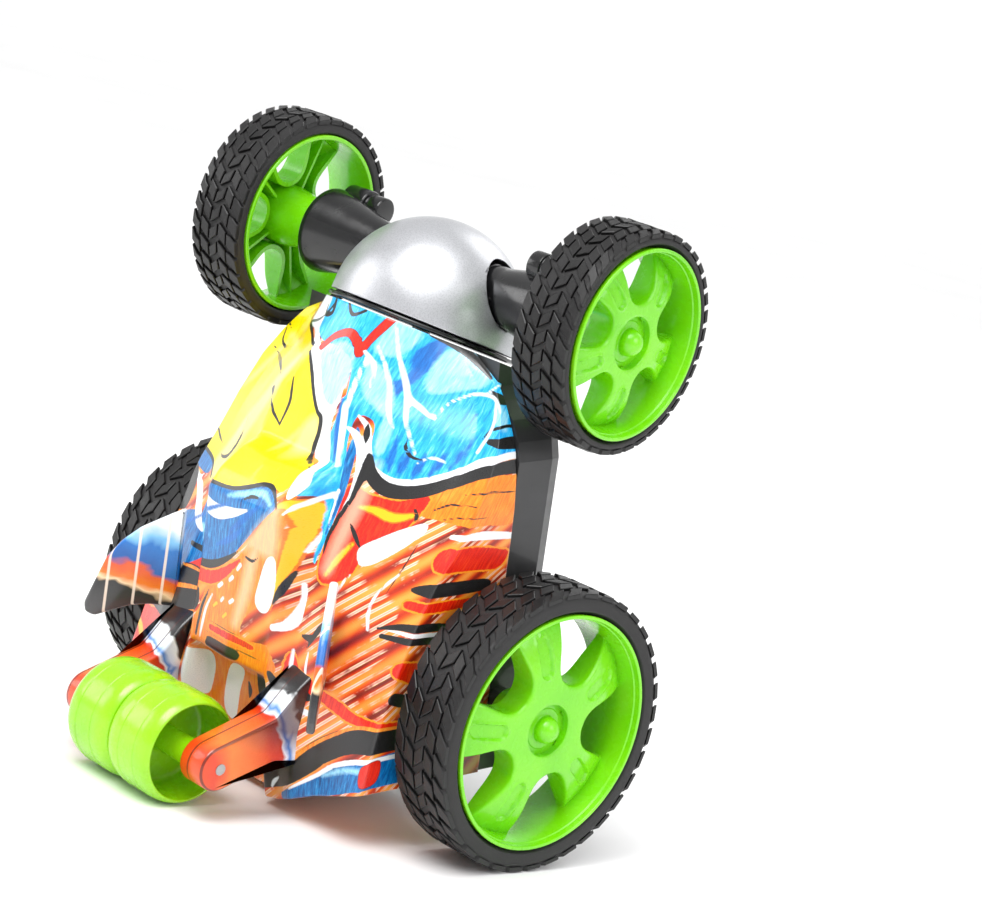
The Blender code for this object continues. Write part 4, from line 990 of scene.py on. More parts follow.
# The print on the shell and some painted highlights, laid out flat in millimetres: x across
# from the middle, y forward from the rear axle. Beyond the shell's edges x runs on down the side
# walls. Each layer is painted over those before it; the pale layer is partly painted highlight.
PRINT_AND_HIGHLIGHTS = {
    "orange": [
        [(-15, 2), (-14, 12), (-10, 20), (-3, 26), (3, 33), (8, 41), (13, 49), (15.4, 49), (15.4,
         22), (10, 20), (5.5, 15), (4.6, 10), (9, 9.8), (15.4, 10), (15.4, 2)],
        [(40, 61), (48, 63), (56, 63), (66, 62), (66, 51), (56, 50.5), (46, 50.5), (38, 51.5)],
        [(-17, -1), (9, -1), (9, -8), (-4, -18), (-15, -16)],
    ],
    "red": [
        [(20, 53.6), (26, 53), (33, 53), (39, 55.5), (38.6, 50.5), (37, 46.5), (34, 42), (31, 38),
         (30, 33.5), (26, 30), (22, 29.5), (20, 33), (19.8, 43)],
        [(19.8, 10), (24, 6.8), (29.7, 6), (30, 2), (24, 3.5), (19.8, 2.5)],
        [(-54, -1), (-44, 0.5), (-36, 2.5), (-38, -6), (-46, -12), (-56, -14)],
        [(-28, 20, 3), (-15.6, 20.3, 3.6), (-9, 21.6, 3.4), (-3, 25.4, 2.4), (2, 30, 0.6)],
        [(-8, 8.1, 1.5), (1, 8.4, 1.9), (9.4, 8.2, 1.3)],
        [(34, 3, 2.5), (38, 1.5, 3), (44, -0.5, 2.4), (56, -0.6, 1.6)],
        [(50, 42, 6), (58, 42, 6), (68, 41, 5)],
        [(50, 14, 4), (60, 12, 6), (72, 11, 6)],
        [(21, -23, 1.6), (27, -18.6, 1.6), (32.5, -12.5, 1.4)],
        [(46, 30, 2.0), (56, 30, 2.6), (70, 30.5, 2.0)],
    ],
    "blaze": [
        [(24.6, 49.4, 0.5), (29, 49.6, 1.6), (33.6, 48.8, 2.0), (38, 50.6, 0.7)],
        [(-50, -5, 1.4), (-46, -7, 2.2), (-43, -11, 1.0)],
        [(12.8, 47.6, 1.2), (15.4, 48.4, 2.2), (16.6, 45, 1.4), (17.2, 39, 0.8)],
        [(14.8, 24, 1.0), (16.4, 33, 1.6), (16.6, 42, 1.2)],
        [(27, 40.5, 0.8), (24.8, 36, 1.6), (23, 31.5, 0.8)],
        [(-7.5, 14.2, 0.9), (-6.2, 15.4, 0.9)],
        [(-2.8, 12.7, 0.9), (-1.5, 14, 0.9)],
        [(-33, 13.0, 0.9), (-27, 14.4, 1.0), (-22, 15.2, 0.7)],
    ],
    "cyan": [
        [(-11, 99), (52, 99), (70, 80), (76, 66.5), (64, 66.8), (56, 68), (50, 67.5), (46, 66),
         (42, 62), (36, 58.5), (30, 57.4), (25, 59), (22, 64), (20.3, 70), (16.5, 71), (16, 66),
         (17, 61), (18.8, 55), (19.6, 47), (19.4, 38), (18.6, 33), (17.6, 42), (16.4, 50), (13.4,
         50.5), (12.3, 53), (10, 62), (11.5, 72), (9, 82), (4, 85.5), (-3, 85.5), (-9, 88.4),
         (-13, 93)],
    ],
    "blue": [
        [(-30, 43), (-20, 45.4), (-15.6, 46), (-6, 46.6), (0, 48.7), (5, 50.6), (9, 50), (12, 47),
         (10.5, 44.5), (7, 40.5), (4, 36.5), (0, 31.5), (-4, 28), (-9, 26), (-15.6, 24.6), (-26,
         25), (-31, 32)],
        [(-58, 42), (-41, 42), (-41.5, 38.3), (-58, 38.6)],
        [(-46, 22.5), (-42, 28), (-32, 31), (-22, 30), (-21, 24), (-28, 18.5), (-36, 15), (-45,
         17.5)],
        [(26, -27, 2.6), (34, -22.3, 5), (42, -17, 7), (50, -13.2, 8), (62, -12, 9)],
        [(17.6, 68, 1.0), (18.2, 60, 2.4), (18.8, 50, 1.6), (18.8, 41, 0.8)],
    ],
    "yellow": [
        [(-60, 42.3), (-50, 42.3), (-41, 42.2), (-36, 38.2), (-33, 42), (-28, 44), (-20, 45.5),
         (-15.5, 46), (-6, 47), (0, 49), (6, 51.2), (11, 50.6), (12, 52.6), (11.4, 56.6), (7,
         57.9), (6.6, 62), (6.2, 66.6), (3.6, 68.8), (-1, 74), (-6, 81.5), (-6.4, 83.7), (-12,
         84.2), (-19.5, 84.7), (-26, 85), (-31, 87), (-44, 91), (-60, 88)],
    ],
    "white": [
        [(-19.5, 86), (-12, 86), (-6, 84.3), (-5.6, 81.6), (-1, 74.7), (3.8, 69.3), (6.8, 66),
         (7.2, 58.8), (11.2, 57.2), (12.2, 52.5), (14.2, 49.6), (15.2, 53), (13.4, 57), (11.6,
         62), (9.8, 67), (10.6, 74), (8.4, 81), (4, 83.6), (0, 83), (-4, 85), (-7.6, 88), (-8.6,
         92), (-12, 96), (-20, 94)],
        [(16.5, 71, 0.7), (19.5, 68.4, 1.4), (21.3, 63.6, 1.8), (24, 59.2, 2.0), (30, 57, 2.2),
         (36, 58.4, 2.2), (42, 62, 2.4), (46, 65.5, 2.6), (52, 67.6, 1.9), (62, 67.4, 1.4), (74,
         66.5, 1.2)],
        [(14.4, 67.9, 0.4), (17.3, 66.5, 1.7), (19.9, 63, 2.0), (21.3, 58, 1.9), (21.5, 52, 1.6),
         (20.8, 47, 1.1), (19.8, 42, 0.6)],
        [(29.3, 40), (31, 36.3), (34, 37.2), (38, 41.3), (41.6, 46.3), (41.2, 49.2), (37, 46.9),
         (33, 43.7)],
        [(-27, 42.6, 1.0), (-19, 41.4, 3.4), (-11, 39.4, 4.2), (-3, 41.2, 2.6), (3, 43.6, 0.6)],
        [(8.6, 21), (11, 18.6), (14, 20), (15.2, 27), (14.4, 34), (11.5, 33), (9.6, 27)],
        [(-47, 36.6, 0.8), (-40, 34.6, 3.0), (-33, 30, 3.4), (-27, 27.6, 0.8)],
        [(-18, -1), (-12.6, -2), (-11.6, -6), (-14.2, -13.8), (-18, -9)],
        [(-5, -2.4), (1, -1.6), (-0.6, -8), (-2.6, -17), (-7.4, -14.4)],
        [(20.2, -1.9, 0.6), (25, -2.2, 1.8), (32, -2.4, 1.4)],
        [(44, 23.2, 0.6), (52, 22.8, 1.2), (62, 22.4, 1.3), (74, 22, 1.0)],
        [(28, -24, 0.6), (36, -17.6, 1.1), (42, -12.6, 1.3), (50, -9.6, 1.3), (62, -8.9, 1.2)],
        [(48, 47.5, 1.0), (56, 48, 2.2), (68, 47, 1.6)],
        [(-49, 37.6, 0.5), (-44.5, 36.6, 0.9), (-42, 38, 0.4)],
        [(16.0, 16, 1.8), (18.6, 17.4, 2.6), (19.4, 23, 1.0), (18.6, 28, 0.6)],
        [(14.9, 46, 0.6), (17.8, 52, 0.8), (18.2, 44, 0.6), (17.6, 36, 0.5)],
    ],
    "dab": [
        [(-25, 36, 0.6), (-17, 37.6, 1.3), (-8, 41.6, 1.0), (-4, 43.4, 0.5)],
        [(-46, 25, 0.6), (-38, 26.6, 1.2), (-31, 30.4, 0.9), (-28, 32, 0.4)],
        [(-4, 35.4, 0.6), (1.4, 40.4, 1.8), (7.4, 46.4, 0.7)],
        [(-9, 30.5, 0.6), (-3, 34, 2.0), (2.4, 38.6, 0.6)],
        [(26.2, 68, 0.5), (27.2, 63, 1.9), (28, 59.6, 0.8)],
        [(29.8, 66.4, 0.5), (30.4, 62, 1.9), (30.6, 58.8, 0.9)],
        [(33.6, 65, 0.5), (33.6, 61.6, 1.8), (33.6, 58.8, 0.9)],
        [(37.2, 67, 0.5), (37, 63.4, 1.8), (36.4, 60, 0.9)],
        [(40.6, 69.4, 0.5), (40.4, 66.4, 1.7), (39.6, 62.6, 0.8)],
        [(20.2, 88), (23.6, 92.4), (24.6, 86), (22.6, 79.5), (18.8, 74), (17.6, 79), (21, 82)],
        [(11.2, 74, 0.5), (12.6, 66, 1.5), (14.6, 58.6, 0.7)],
    ],
    "sky": [
        [(-2, 83.2), (1, 86), (6, 87), (9, 83), (10, 76), (8.2, 71.5), (4, 73), (0, 78.5)],
        [(12.6, 84), (18, 81), (21, 77), (23, 71.4), (19, 73.4), (14, 77)],
        [(25.6, 90), (33, 88), (37, 83.4), (32, 80.4), (27, 79), (24.6, 83)],
        [(13.6, 96), (19, 94.6), (19.2, 89), (15.6, 85.8), (11.6, 87.4)],
        [(22.2, 72), (24.6, 69.8), (25, 64), (23.6, 62.4), (22.2, 66)],
        [(41.6, 79.6), (45.6, 77.4), (48, 73.4), (44.8, 74.4), (42.6, 76)],
        [(-5.6, 45, 0.8), (0, 47, 1.5), (6, 48.8, 1.6), (10, 47, 0.8)],
        [(38, -17, 0.6), (45, -13.2, 1.4), (54, -11.6, 1.2)],
        [(-28, 29, 0.8), (-25, 27.4, 2.2), (-23, 23, 0.8)],
    ],
    "scarlet": [
        [(-2.6, 84, 1.3), (0, 87.5, 1.7), (4, 89.4, 1.9), (7.2, 88, 1.9), (9.2, 84.8, 1.1), (9.9,
         89, 1.8), (12.6, 95.6, 2.1)],
        [(-37, 12.6, 0.6), (-30, 15.4, 2.2), (-22, 16.8, 2.6)],
        [(-46, 12, 0.6), (-42, 5, 1.8), (-40.5, 2.6, 0.8)],
        [(49, -11), (54, -9.6), (55, -15), (50, -16)],
    ],
    # Pale washes. The strip down the red zone is a painted reflection, and the broad streak down
    # the left of the yellow area is part print, part painted reflection.
    "pale": [
        [(6, 34), (2.6, 33.2), (6.6, 40), (11, 45.5), (14, 47.5), (14.6, 36), (12, 33.5)],
        [(2.4, 12.6, 2.6), (4.6, 22, 3.8), (6.2, 31, 3.4), (8.4, 37, 2)],
        [(-8, 82.6, 2.4), (-18, 70, 4.6), (-28, 56, 6.6), (-36, 42, 7)],
        [(0.6, 57.6), (0, 63), (3, 67.4), (6, 66), (6.4, 59)],
        [(-39, 76, 0.6), (-30, 77.6, 1.6), (-18, 81, 0.7)],
        [(-34, 80, 0.5), (-28, 82.4, 1.6), (-21, 83.2, 0.6)],
        [(-49, 60, 0.6), (-44, 66, 1.6), (-39, 74, 0.7)],
        [(-4.4, 57.6, 0.4), (0, 62.6, 0.8), (4.4, 67.6, 0.5)],
        [(24.4, 60, 2.6), (23.8, 50, 4), (22.8, 33, 3.4)],
    ],
    "black": [
        [(22.4, 62, 1.6), (25, 57.2, 3.2), (30, 55, 3.5), (36, 56, 3.3), (42, 59.7, 3.0), (48,
         63.8, 3.2), (55, 65, 3.6), (64, 64.8, 4.4), (76, 64, 4.4)],
        [(22.5, 61, 1.8), (22.5, 57, 2.0), (21.8, 51, 1.3), (20.4, 45, 1.3), (19.9, 40, 1.1),
         (20.3, 36, 0.5)],
        [(19.0, 69.4, 0.6), (19.8, 66.9, 1.6), (20.2, 64.8, 0.4)],
        [(-26, 85.1, 0.4), (-19.5, 85.3, 1.0), (-12, 84.8, 1.0), (-6, 83.9, 1.1)],
        [(-6.2, 81.9, 0.9), (-3, 77.4, 1.2), (0, 73, 1.1), (3.5, 68.9, 1.1), (5.6, 67.5, 1.4),
         (6.4, 64, 1.4), (6.3, 60.5, 1.5), (6.8, 58, 1.0), (8.8, 57.2, 0.5), (11.4, 56.5, 0.3)],
        [(-19.5, 86, 0.7), (-13, 88.2, 0.8), (-8.4, 91, 0.7), (-6.8, 94, 0.9)],
        [(-11, 93.5, 0.5), (-8.6, 91.2, 1.2), (-5.6, 92.2, 1.2), (-7.2, 95.4, 1.0)],
        [(-1, 95.8, 0.8), (2, 93.6, 1.0), (5.4, 95.4, 0.8)],
        [(-41, 71.2, 0.3), (-34, 72, 1.0), (-25.6, 73.1, 1.0), (-17.8, 72.5, 0.4)],
        [(-43, 77.6, 0.4), (-41.8, 74.4, 0.7), (-38.6, 73.4, 0.8), (-34, 74.3, 0.3)],
        [(-42.4, 78.8, 0.7), (-40.4, 77.8, 0.3)],
        [(-44.6, 72.2, 0.5), (-41, 71.4, 0.3)],
        [(-40, 68.4, 0.2), (-35, 69, 0.4), (-31, 69.2, 0.2)],
        [(-8.8, 74.6, 0.5), (-8.0, 71, 0.9), (-7.6, 67.6, 1.0), (-9, 61.6, 0.6)],
        [(-20, 68.2, 0.8), (-18.4, 68.4, 1.8), (-16.6, 67.4, 0.5)],
        [(-16.4, 66.6, 0.6), (-14, 65.4, 1.1), (-12.4, 63.8, 1.0), (-9.2, 61.8, 0.6)],
        [(-29.2, 57.6, 0.3), (-28.6, 52.4, 1.2), (-31, 47, 1.2), (-35, 44.9, 0.9), (-39, 44.7,
         0.3)],
        [(-58, 47.4, 0.7), (-50, 47.6, 0.7), (-45, 46.9, 0.7), (-39.5, 46.8, 0.3)],
        [(-58, 42.2, 0.9), (-50, 42.3, 0.9), (-41, 41.9, 0.9), (-36.5, 39, 0.8)],
        [(-58, 38.3), (-48.6, 38.0), (-44.4, 34.5), (-43.4, 29.5), (-46, 27), (-58, 24.6)],
        [(-30, 44.2, 0.6), (-20, 45.6, 0.9), (-15.5, 46.1, 1.0), (-6, 46.9, 1.0), (0, 48.8, 1.2),
         (5, 50.9, 1.1), (9, 50.3, 1.0), (12.4, 46.8, 0.5)],
        [(0.4, 45.6, 0.4), (3, 47.2, 1.0), (6, 47.4, 0.4)],
        [(-30, 23.4, 1.2), (-15.5, 23.7, 2.2), (-9, 25.3, 2.2), (-3, 28.8, 1.4), (1, 32, 0.4)],
        [(-14.2, 4, 0.7), (-13.6, 8.6, 1.1), (-12.6, 12.8, 1.1), (-10.4, 17.6, 0.5)],
        [(-8.6, 2.5), (-9.2, 4.5), (-7.4, 5.5), (3.6, 5.5), (5.2, 4.4), (2.6, 2.6)],
        [(-10, 6.3, 0.25), (0, 6.2, 0.35), (14, 5.7, 0.25)],
        [(-10, 9.6, 0.2), (0, 9.7, 0.3), (14, 9.3, 0.2)],
        [(3.7, 31.4, 0.6), (6.2, 30.9, 0.9), (8.4, 32.4, 0.3)],
        [(24.4, 44.8, 0.6), (26.8, 42.6, 1.2), (29.4, 40.2, 0.5)],
        [(36.8, 52.4, 0.5), (38.4, 50, 1.0), (38.8, 47.6, 0.4)],
        [(41, 52, 0.3), (44, 54.6, 0.6), (50, 55.4, 0.3)],
        [(44, 50.8, 0.3), (49, 52.4, 0.5), (58, 52.4, 0.3)],
        [(46, 57.6, 0.3), (52, 59, 0.6), (62, 58.4, 0.3)],
        [(41.6, 44, 0.2), (41.2, 38, 0.4), (40, 31, 0.2)],
        [(45, 33.6), (50, 36.2), (58, 36.4), (68, 36), (68, 33.2), (52, 32.6)],
        [(41.6, 22.9, 0.6), (47, 24.5, 1.8), (54, 24.7, 2.4), (62, 24.2, 1.6)],
        [(43, 21.3, 1.2), (54, 21.2, 2.0), (74, 20.4, 2.2)],
        [(51, 6.6, 3.0), (58, 5.2, 3.4), (72, 4.6, 3.0)],
        [(19.6, 3.7), (24, 4.5), (29, 2.9), (31.4, 1.3), (28, 0.1), (24, 0.0), (20.3, 1.2)],
        [(18, -25, 5), (26, -21, 5.4), (32, -15.6, 6), (38, -9.6, 6.4), (46, -5.2, 6.4), (60,
         -4.4, 5.6)],
        [(24.6, 12.8, 0.6), (26.8, 18, 1.8), (28.8, 21.4, 0.6)],
        [(21.4, 15, 0.6), (24.6, 15.4, 1.8), (27.2, 16.8, 0.4)],
        [(15.0, 22, 0.5), (16.2, 25.6, 1.4), (17.4, 31, 0.6)],
        [(-56, 13), (-44, 15.6), (-36, 12.6), (-30, 18), (-21, 17.6), (-19, 6), (-22, -2.6), (-32,
         1), (-44, 1.4), (-56, 0.4)],
        [(-24, 10, 4), (-18, 12, 6), (-15.5, 16, 1.6)],
        [(-30, -14, 5), (-22, -18, 5), (-12, -24, 4), (-4, -30, 4)],
        [(6.4, -0.8), (9.6, -1.4), (13, -4), (12, -9), (8, -8)],
        [(3.0, -4.4, 0.8), (3.6, -6.4, 1.6), (3.4, -8.6, 0.6)],
        [(28.6, 70.4, 0.3), (28.5, 66.8, 0.7), (31, 63.8, 0.7), (35, 63.4, 0.4)],
        [(20.6, 92.4, 0.4), (26, 90, 0.9), (32, 87.2, 1.0), (37, 84.6, 0.5)],
        [(38.6, 81.8, 0.8), (41.4, 80.6, 1.9), (44, 79.6, 0.8)],
        [(42.6, 70.8, 0.4), (43.8, 73.4, 0.9), (48, 74.6, 0.8), (58, 73.4, 0.7)],
        [(44.6, 70.6, 1.4), (50, 70.8, 2.8), (62, 70.4, 3.0)],
        [(16.6, 4, 1.0), (18, 1.8, 1.8), (19, -0.4, 0.6)],
    ],
    "ember": [
        [(-34, 10.6, 0.7), (-28, 12.4, 1.0), (-21.6, 13.6, 0.7)],
        [(-30, 4.6, 0.6), (-25, 5.8, 1.1), (-19.6, 8, 0.7)],
        [(-27, 4.6, 0.6), (-24.4, -0.4, 1.2), (-23.6, -2.6, 0.6)],
        [(-52, 6.4, 0.5), (-46, 7.6, 1.2), (-41, 5.8, 0.6)],
        [(-50, 3.2, 0.5), (-44, 4.4, 1.0), (-38, 3.6, 0.5)],
        [(-31, 17.4, 0.4), (-26, 18, 0.6), (-21, 17.8, 0.4)],
        [(20, -21.6, 0.5), (27, -17.2, 0.8), (33, -10.8, 0.7), (39, -5.6, 0.7), (46, -1.7, 0.7),
         (60, -1.2, 0.6)],
    ],
    "line": [
        [(14, 93, 0.4), (17.6, 86, 0.7), (22.6, 79, 1.0), (26, 72.4, 0.7), (31.6, 64.4, 0.3)],
        [(12, 88, 0.3), (18, 80.4, 0.8), (21.4, 74, 0.9), (24.6, 69.6, 0.4)],
        [(22.8, 79, 0.5), (24.4, 76.8, 0.9), (27, 75.4, 0.8), (30, 73.6, 0.4)],
        [(11, 84.6, 0.5), (12.2, 76, 1.2), (14, 66.4, 1.3), (15.8, 58, 0.8)],
        [(31, 72, 0.3), (31.4, 77, 0.6), (35, 80.2, 0.7), (40, 80.6, 0.6), (43.6, 77.6, 0.3)],
        [(10, 86, 0.5), (13.4, 83, 0.9), (15.4, 78, 0.4)],
        [(40.8, 80.4, 0.3), (43.4, 74, 0.6), (43.2, 67.6, 0.7)],
        [(33, 62.6, 0.3), (35, 64.4, 0.5), (38, 63.8, 0.3)],
        [(-6.2, 20, 0.9), (-4.8, 21.2, 0.9)],
        [(-1.6, 23.2, 0.8), (-0.4, 24.4, 0.9)],
        [(1.2, 27, 0.7), (2.2, 28.6, 0.8)],
        [(-0.6, 17.4, 0.8), (0.6, 18.4, 0.9)],
        [(-4.4, 16.6, 0.7), (-3.6, 17.6, 0.7)],
        [(-12.4, 4, 0.4), (-11.8, 8, 0.8), (-10.8, 12.6, 0.7), (-8.6, 17, 0.3)],
        [(20.2, 11, 0.3), (20.6, 6.8, 0.7), (21, 3, 0.3)],
        [(25.6, 12, 0.3), (26.2, 8, 0.8), (27, 6.6, 0.3)],
        [(27.4, 23, 0.3), (28.6, 30, 0.6), (29.8, 33.4, 0.3)],
        [(23, -22.8, 0.3), (21.4, -24.6, 0.9), (20.6, -26.4, 0.4)],
        [(37.4, 80.6, 0.3), (39.2, 83, 0.5), (40.4, 85.4, 0.3)],
        [(39.5, 22, 0.4), (38, 29.4, 0.6), (41, 36.4, 0.3)],
    ],
}


def film(name):
    """A glossy printed film, with its flat coordinates and its grain."""
    g = Graph(name, ior=1.5, coat_weight=0.45, coat_roughness=0.1)
    flat = g.attribute("flat", "Vector")
    return g, flat, g.noise(5.5, 5, 0.65, flat)


def finish_film(g, colour, grain, low, high):
    """Lets the grain show as a change of brightness from low to high, and in the gloss."""
    g.set("Base Color", g.brightened(colour, g.span(grain, 0.25, 0.75, low, high)))
    g.set("Roughness", g.span(grain, 0.3, 0.75, 0.24, 0.4))


def shell_material():
    """Painted layers over a ground of feather stripes. Its scales are in the print's
    millimetres."""
    g, flat, grain = film("printed_shell")
    wobble = g.noise(0.9, 3, 0.6, flat)
    strokes = g.noise(1.0, 5, 0.62, g.turned(flat, 24, (1.6, 0.22, 1)), 0.4)
    slant = g.turned(flat, 44)
    bands = g.wave(0.05, 9.0, slant, 2.0, 0.12)
    fine = g.wave(0.155, 9.0, slant, 1.0, 0.045)
    drift = g.noise(0.05, 3, 0.5, flat)
    patches = g.noise(0.085, 4, 0.55, flat, 0.6)

    def ink(*stops, over=strokes):
        """A colour that runs through stops of (position, red, green, blue)."""
        return g.ramp(over, [(stop[0], rgb(*stop[1:])) for stop in stops])

    ground = ink(
        (0.22, 120, 30, 16), (0.34, 196, 48, 14), (0.48, 228, 88, 20), (0.64, 242, 128, 38),
        (0.85, 248, 164, 66),
        over=g.math("ADD", g.math("MULTIPLY", bands, 0.55), g.math("MULTIPLY", drift, 0.5)))
    barbs = ink((0.5, 250, 150, 50), (0.66, 254, 206, 110), (0.84, 250, 226, 226),
                (0.95, 244, 176, 150), over=fine)
    plumes = g.math("MULTIPLY", g.span(fine, 0.5, 0.68), g.span(patches, 0.48, 0.56))
    colour = g.mix(plumes, ground, barbs)

    def layer(name, shade, edge=0.07, wander=0.3, fringe=None, strength=1.0, grow=0.0):
        """Lays a layer over what is below it. A fringe is a (width, colour) outline."""
        nonlocal colour
        shift = g.span(wobble, 0.0, 1.0, grow - wander / 2, grow + wander / 2)
        depth = g.math("ADD", g.attribute(name), shift)
        if fringe:
            width, outline = fringe
            colour = g.mix(g.span(depth, -width - edge, -width + edge), colour, outline)
        colour = g.mix(g.span(depth, -edge, edge, 0.0, strength), colour, shade)

    layer("orange", ink((0.3, 236, 104, 8), (0.5, 246, 132, 14), (0.7, 252, 164, 40)), wander=0.8)
    layer("red", ink((0.3, 196, 16, 4), (0.5, 232, 28, 4), (0.72, 246, 74, 22)), wander=0.8,
          fringe=(0.5, rgb(252, 150, 30)))
    layer("blaze", rgb(255, 190, 16), wander=0.5, fringe=(0.35, rgb(250, 120, 10)))
    layer("cyan", ink((0.3, 0, 128, 212), (0.46, 4, 168, 240), (0.58, 60, 196, 250),
                      (0.74, 150, 226, 252)))
    layer("blue", ink((0.3, 2, 62, 122), (0.48, 4, 104, 176), (0.62, 24, 140, 208),
                      (0.8, 120, 196, 232)))
    layer("yellow", ink((0.25, 250, 204, 0), (0.45, 254, 226, 0), (0.62, 255, 232, 6),
                        (0.82, 255, 240, 96)))
    layer("white", ink((0.3, 232, 236, 242), (0.6, 250, 250, 252), over=grain), edge=0.12)
    layer("dab", ink((0.3, 2, 84, 170), (0.7, 10, 126, 214)), edge=0.3, wander=0.7)
    layer("sky", ink((0.3, 120, 214, 252), (0.6, 176, 232, 254), (0.8, 226, 246, 255)),
          edge=0.45, wander=0.9, strength=0.85)
    layer("scarlet", ink((0.3, 206, 14, 4), (0.7, 244, 44, 14)), wander=0.15,
          fringe=(0.18, rgb(120, 10, 8)))
    # A see-through pale wash, partly print and partly painted highlight in place of lamp
    # reflections.
    layer("pale", rgb(255, 240, 204), edge=1.3, wander=0.8, strength=0.42)
    layer("black", ink((0.35, 12, 12, 13), (0.7, 44, 43, 44), over=grain), wander=0.25)
    layer("ember", ink((0.3, 238, 92, 8), (0.7, 252, 176, 60)), wander=0.3, grow=0.12)
    layer("line", rgb(232, 245, 254), edge=0.16, wander=0.12, grow=0.1)
    worn = g.span(g.noise(2.4, 8, 0.75, flat), 0.66, 0.72)
    colour = g.mix(g.math("MULTIPLY", worn, 0.25), colour, rgb(236, 232, 226))
    finish_film(g, colour, grain, 0.9, 1.06)
    dents = g.noise(0.25, 2, 0.5, flat)
    g.bump(g.math("ADD", g.math("MULTIPLY", grain, 0.5), dents), 0.00012, 0.35)
    return g.material


def make_shell():
    points, flat = shell_grid()
    rows, columns = points.shape[:2]
    index = np.arange(rows * columns).reshape(rows, columns)
    faces = np.stack([index[:-1, :-1], index[1:, :-1], index[1:, 1:], index[:-1, 1:]], -1)
    shell = piece("shell_skin", transformed(CAR, points.reshape(-1, 3) * MM),
                  faces.reshape(-1, 4).tolist(), SHELL_PRINT_AND_HIGHLIGHTS, "car_body", 60.0, 0.0, False)
    spots = flat.reshape(-1, 2)
    print_on(shell.data, np.c_[spots, np.zeros(len(spots))])
    for name, shapes in PRINT_AND_HIGHLIGHTS.items():
        values = paint(np.full(len(spots), -2.0), spots, shapes)
        shell.data.attributes.new(name, "FLOAT", "POINT").data.foreach_set("value", values)
    wall = shell.modifiers.new("wall", "SOLIDIFY")
    wall.thickness = 1.4 * MM
    wall.offset = -1
    wall.use_rim_only = True
    return shell


def print_on(mesh, places):
    attribute = mesh.attributes.new("flat", "FLOAT_VECTOR", "POINT")
    attribute.data.foreach_set("vector", np.asarray(places, float).ravel())


def slab(name, outline, thick, edge, to_car, material):
    """A plate with rounded rims. Its outline is (u, v) and to_car gives the car's (x, y, z) of
    (u, v, w), with w across the plate. Everything is in millimetres."""
    outline = np.array(rounded([tuple(p) for p in outline], 0.9, 3))
    ahead = np.roll(outline, -1, 0) - np.roll(outline, 1, 0)
    normal = np.c_[ahead[:, 1], -ahead[:, 0]] / np.linalg.norm(ahead, axis=1)[:, None]
    u, v = outline.T
    normal *= np.sign((u * np.roll(v, -1) - v * np.roll(u, -1)).sum())
    rings = []
    for turn in np.linspace(90, 0, 5):
        a = radians(turn)
        rings.append((edge * (1 - cos(a)), thick / 2 - edge * (1 - sin(a))))
    rings += [(inset, -w) for inset, w in reversed(rings)]
    points = [np.c_[outline - normal * inset, np.full(len(outline), w)] for inset, w in rings]
    count = len(outline)
    last = (len(rings) - 1) * count
    faces = [tuple(range(count)), tuple(range(last, last + count))]
    faces += bands_between(len(rings) - 1, count)
    places = np.array([to_car(*p) for p in np.concatenate(points)])
    obj = piece(name, transformed(CAR, places * MM), faces, material, "car_body", 50.0)
    print_on(obj.data, places)
    return obj


def arm_outline():
    lean = atan2(5.1, 17.8)
    y, z, end = ROLLER_Y / MM, ROLLER_Z / MM, 6.1
    tip = [(y + end * cos(lean + t), z + end * sin(lean + t)) for t in np.linspace(0, pi, 17)]
    low = (tip[0][0] + 19 * sin(lean), tip[0][1] - 19 * cos(lean))
    return [(9, 43.1), (4.0, 49.5), low] + tip + [(-15.6, 55.5), (-17.3, 43.7)]


FIN_OUTLINE = (
    (33, -2.2), (31, 1.4), (29, 4.6), (26, 9.4), (21.5, 14.2), (16.3, 17.8), (9, 20.4),
    (2.9, 22.5), (0.4, 22.0), (-0.4, 19.4), (1.3, 15.8), (4.0, 10.0), (5.0, 5.0), (5.4, -2.2),
)


def limb_material(name, stops, direction, offset, length, line):
    """Print of an arm or a fin: bands of colour along one direction, with brushed edges."""
    g, flat, grain = film(name)
    dot = g.nodes.new("ShaderNodeVectorMath")
    dot.operation = "DOT_PRODUCT"
    g.links.new(flat, dot.inputs[0])
    dot.inputs[1].default_value = direction
    strokes = g.noise(0.11, 2, 0.5, flat, 0.6)
    shift = g.math("MULTIPLY", g.math("SUBTRACT", strokes, 0.5), 0.22 * length)
    along = g.math("ADD", dot.outputs["Value"], shift)
    colour = g.ramp(g.span(along, offset, offset + length), stops)
    streaks = g.wave(0.06, 7.0, flat, 1.5, 0.06)
    colour = g.mix(g.span(streaks, 0.965, 0.985, 0.0, 0.8), colour, line)
    finish_film(g, colour, grain, 0.88, 1.08)
    g.bump(grain, 0.00006, 0.4)
    return g.material


ARM_BANDS = [(0.0, rgb(20, 20, 22)), (0.1, rgb(26, 24, 26)), (0.12, rgb(240, 246, 250)),
             (0.19, rgb(214, 226, 250)), (0.22, rgb(60, 130, 214)), (0.25, rgb(238, 236, 246)),
             (0.27, rgb(206, 44, 12)), (0.36, rgb(226, 80, 16)), (0.5, rgb(236, 108, 28)),
             (0.66, rgb(240, 124, 40)), (0.8, rgb(222, 60, 16)), (1.0, rgb(226, 84, 16))]
FIN_BANDS = [(0.0, rgb(232, 240, 246)), (0.2, rgb(240, 246, 250)), (0.3, rgb(120, 190, 236)),
             (0.36, rgb(14, 112, 196)), (0.5, rgb(10, 88, 168)), (0.54, rgb(226, 84, 30)),
             (0.64, rgb(240, 122, 24)), (0.68, rgb(252, 214, 170)), (0.71, rgb(34, 34, 36)),
             (1.0, rgb(78, 78, 80))]


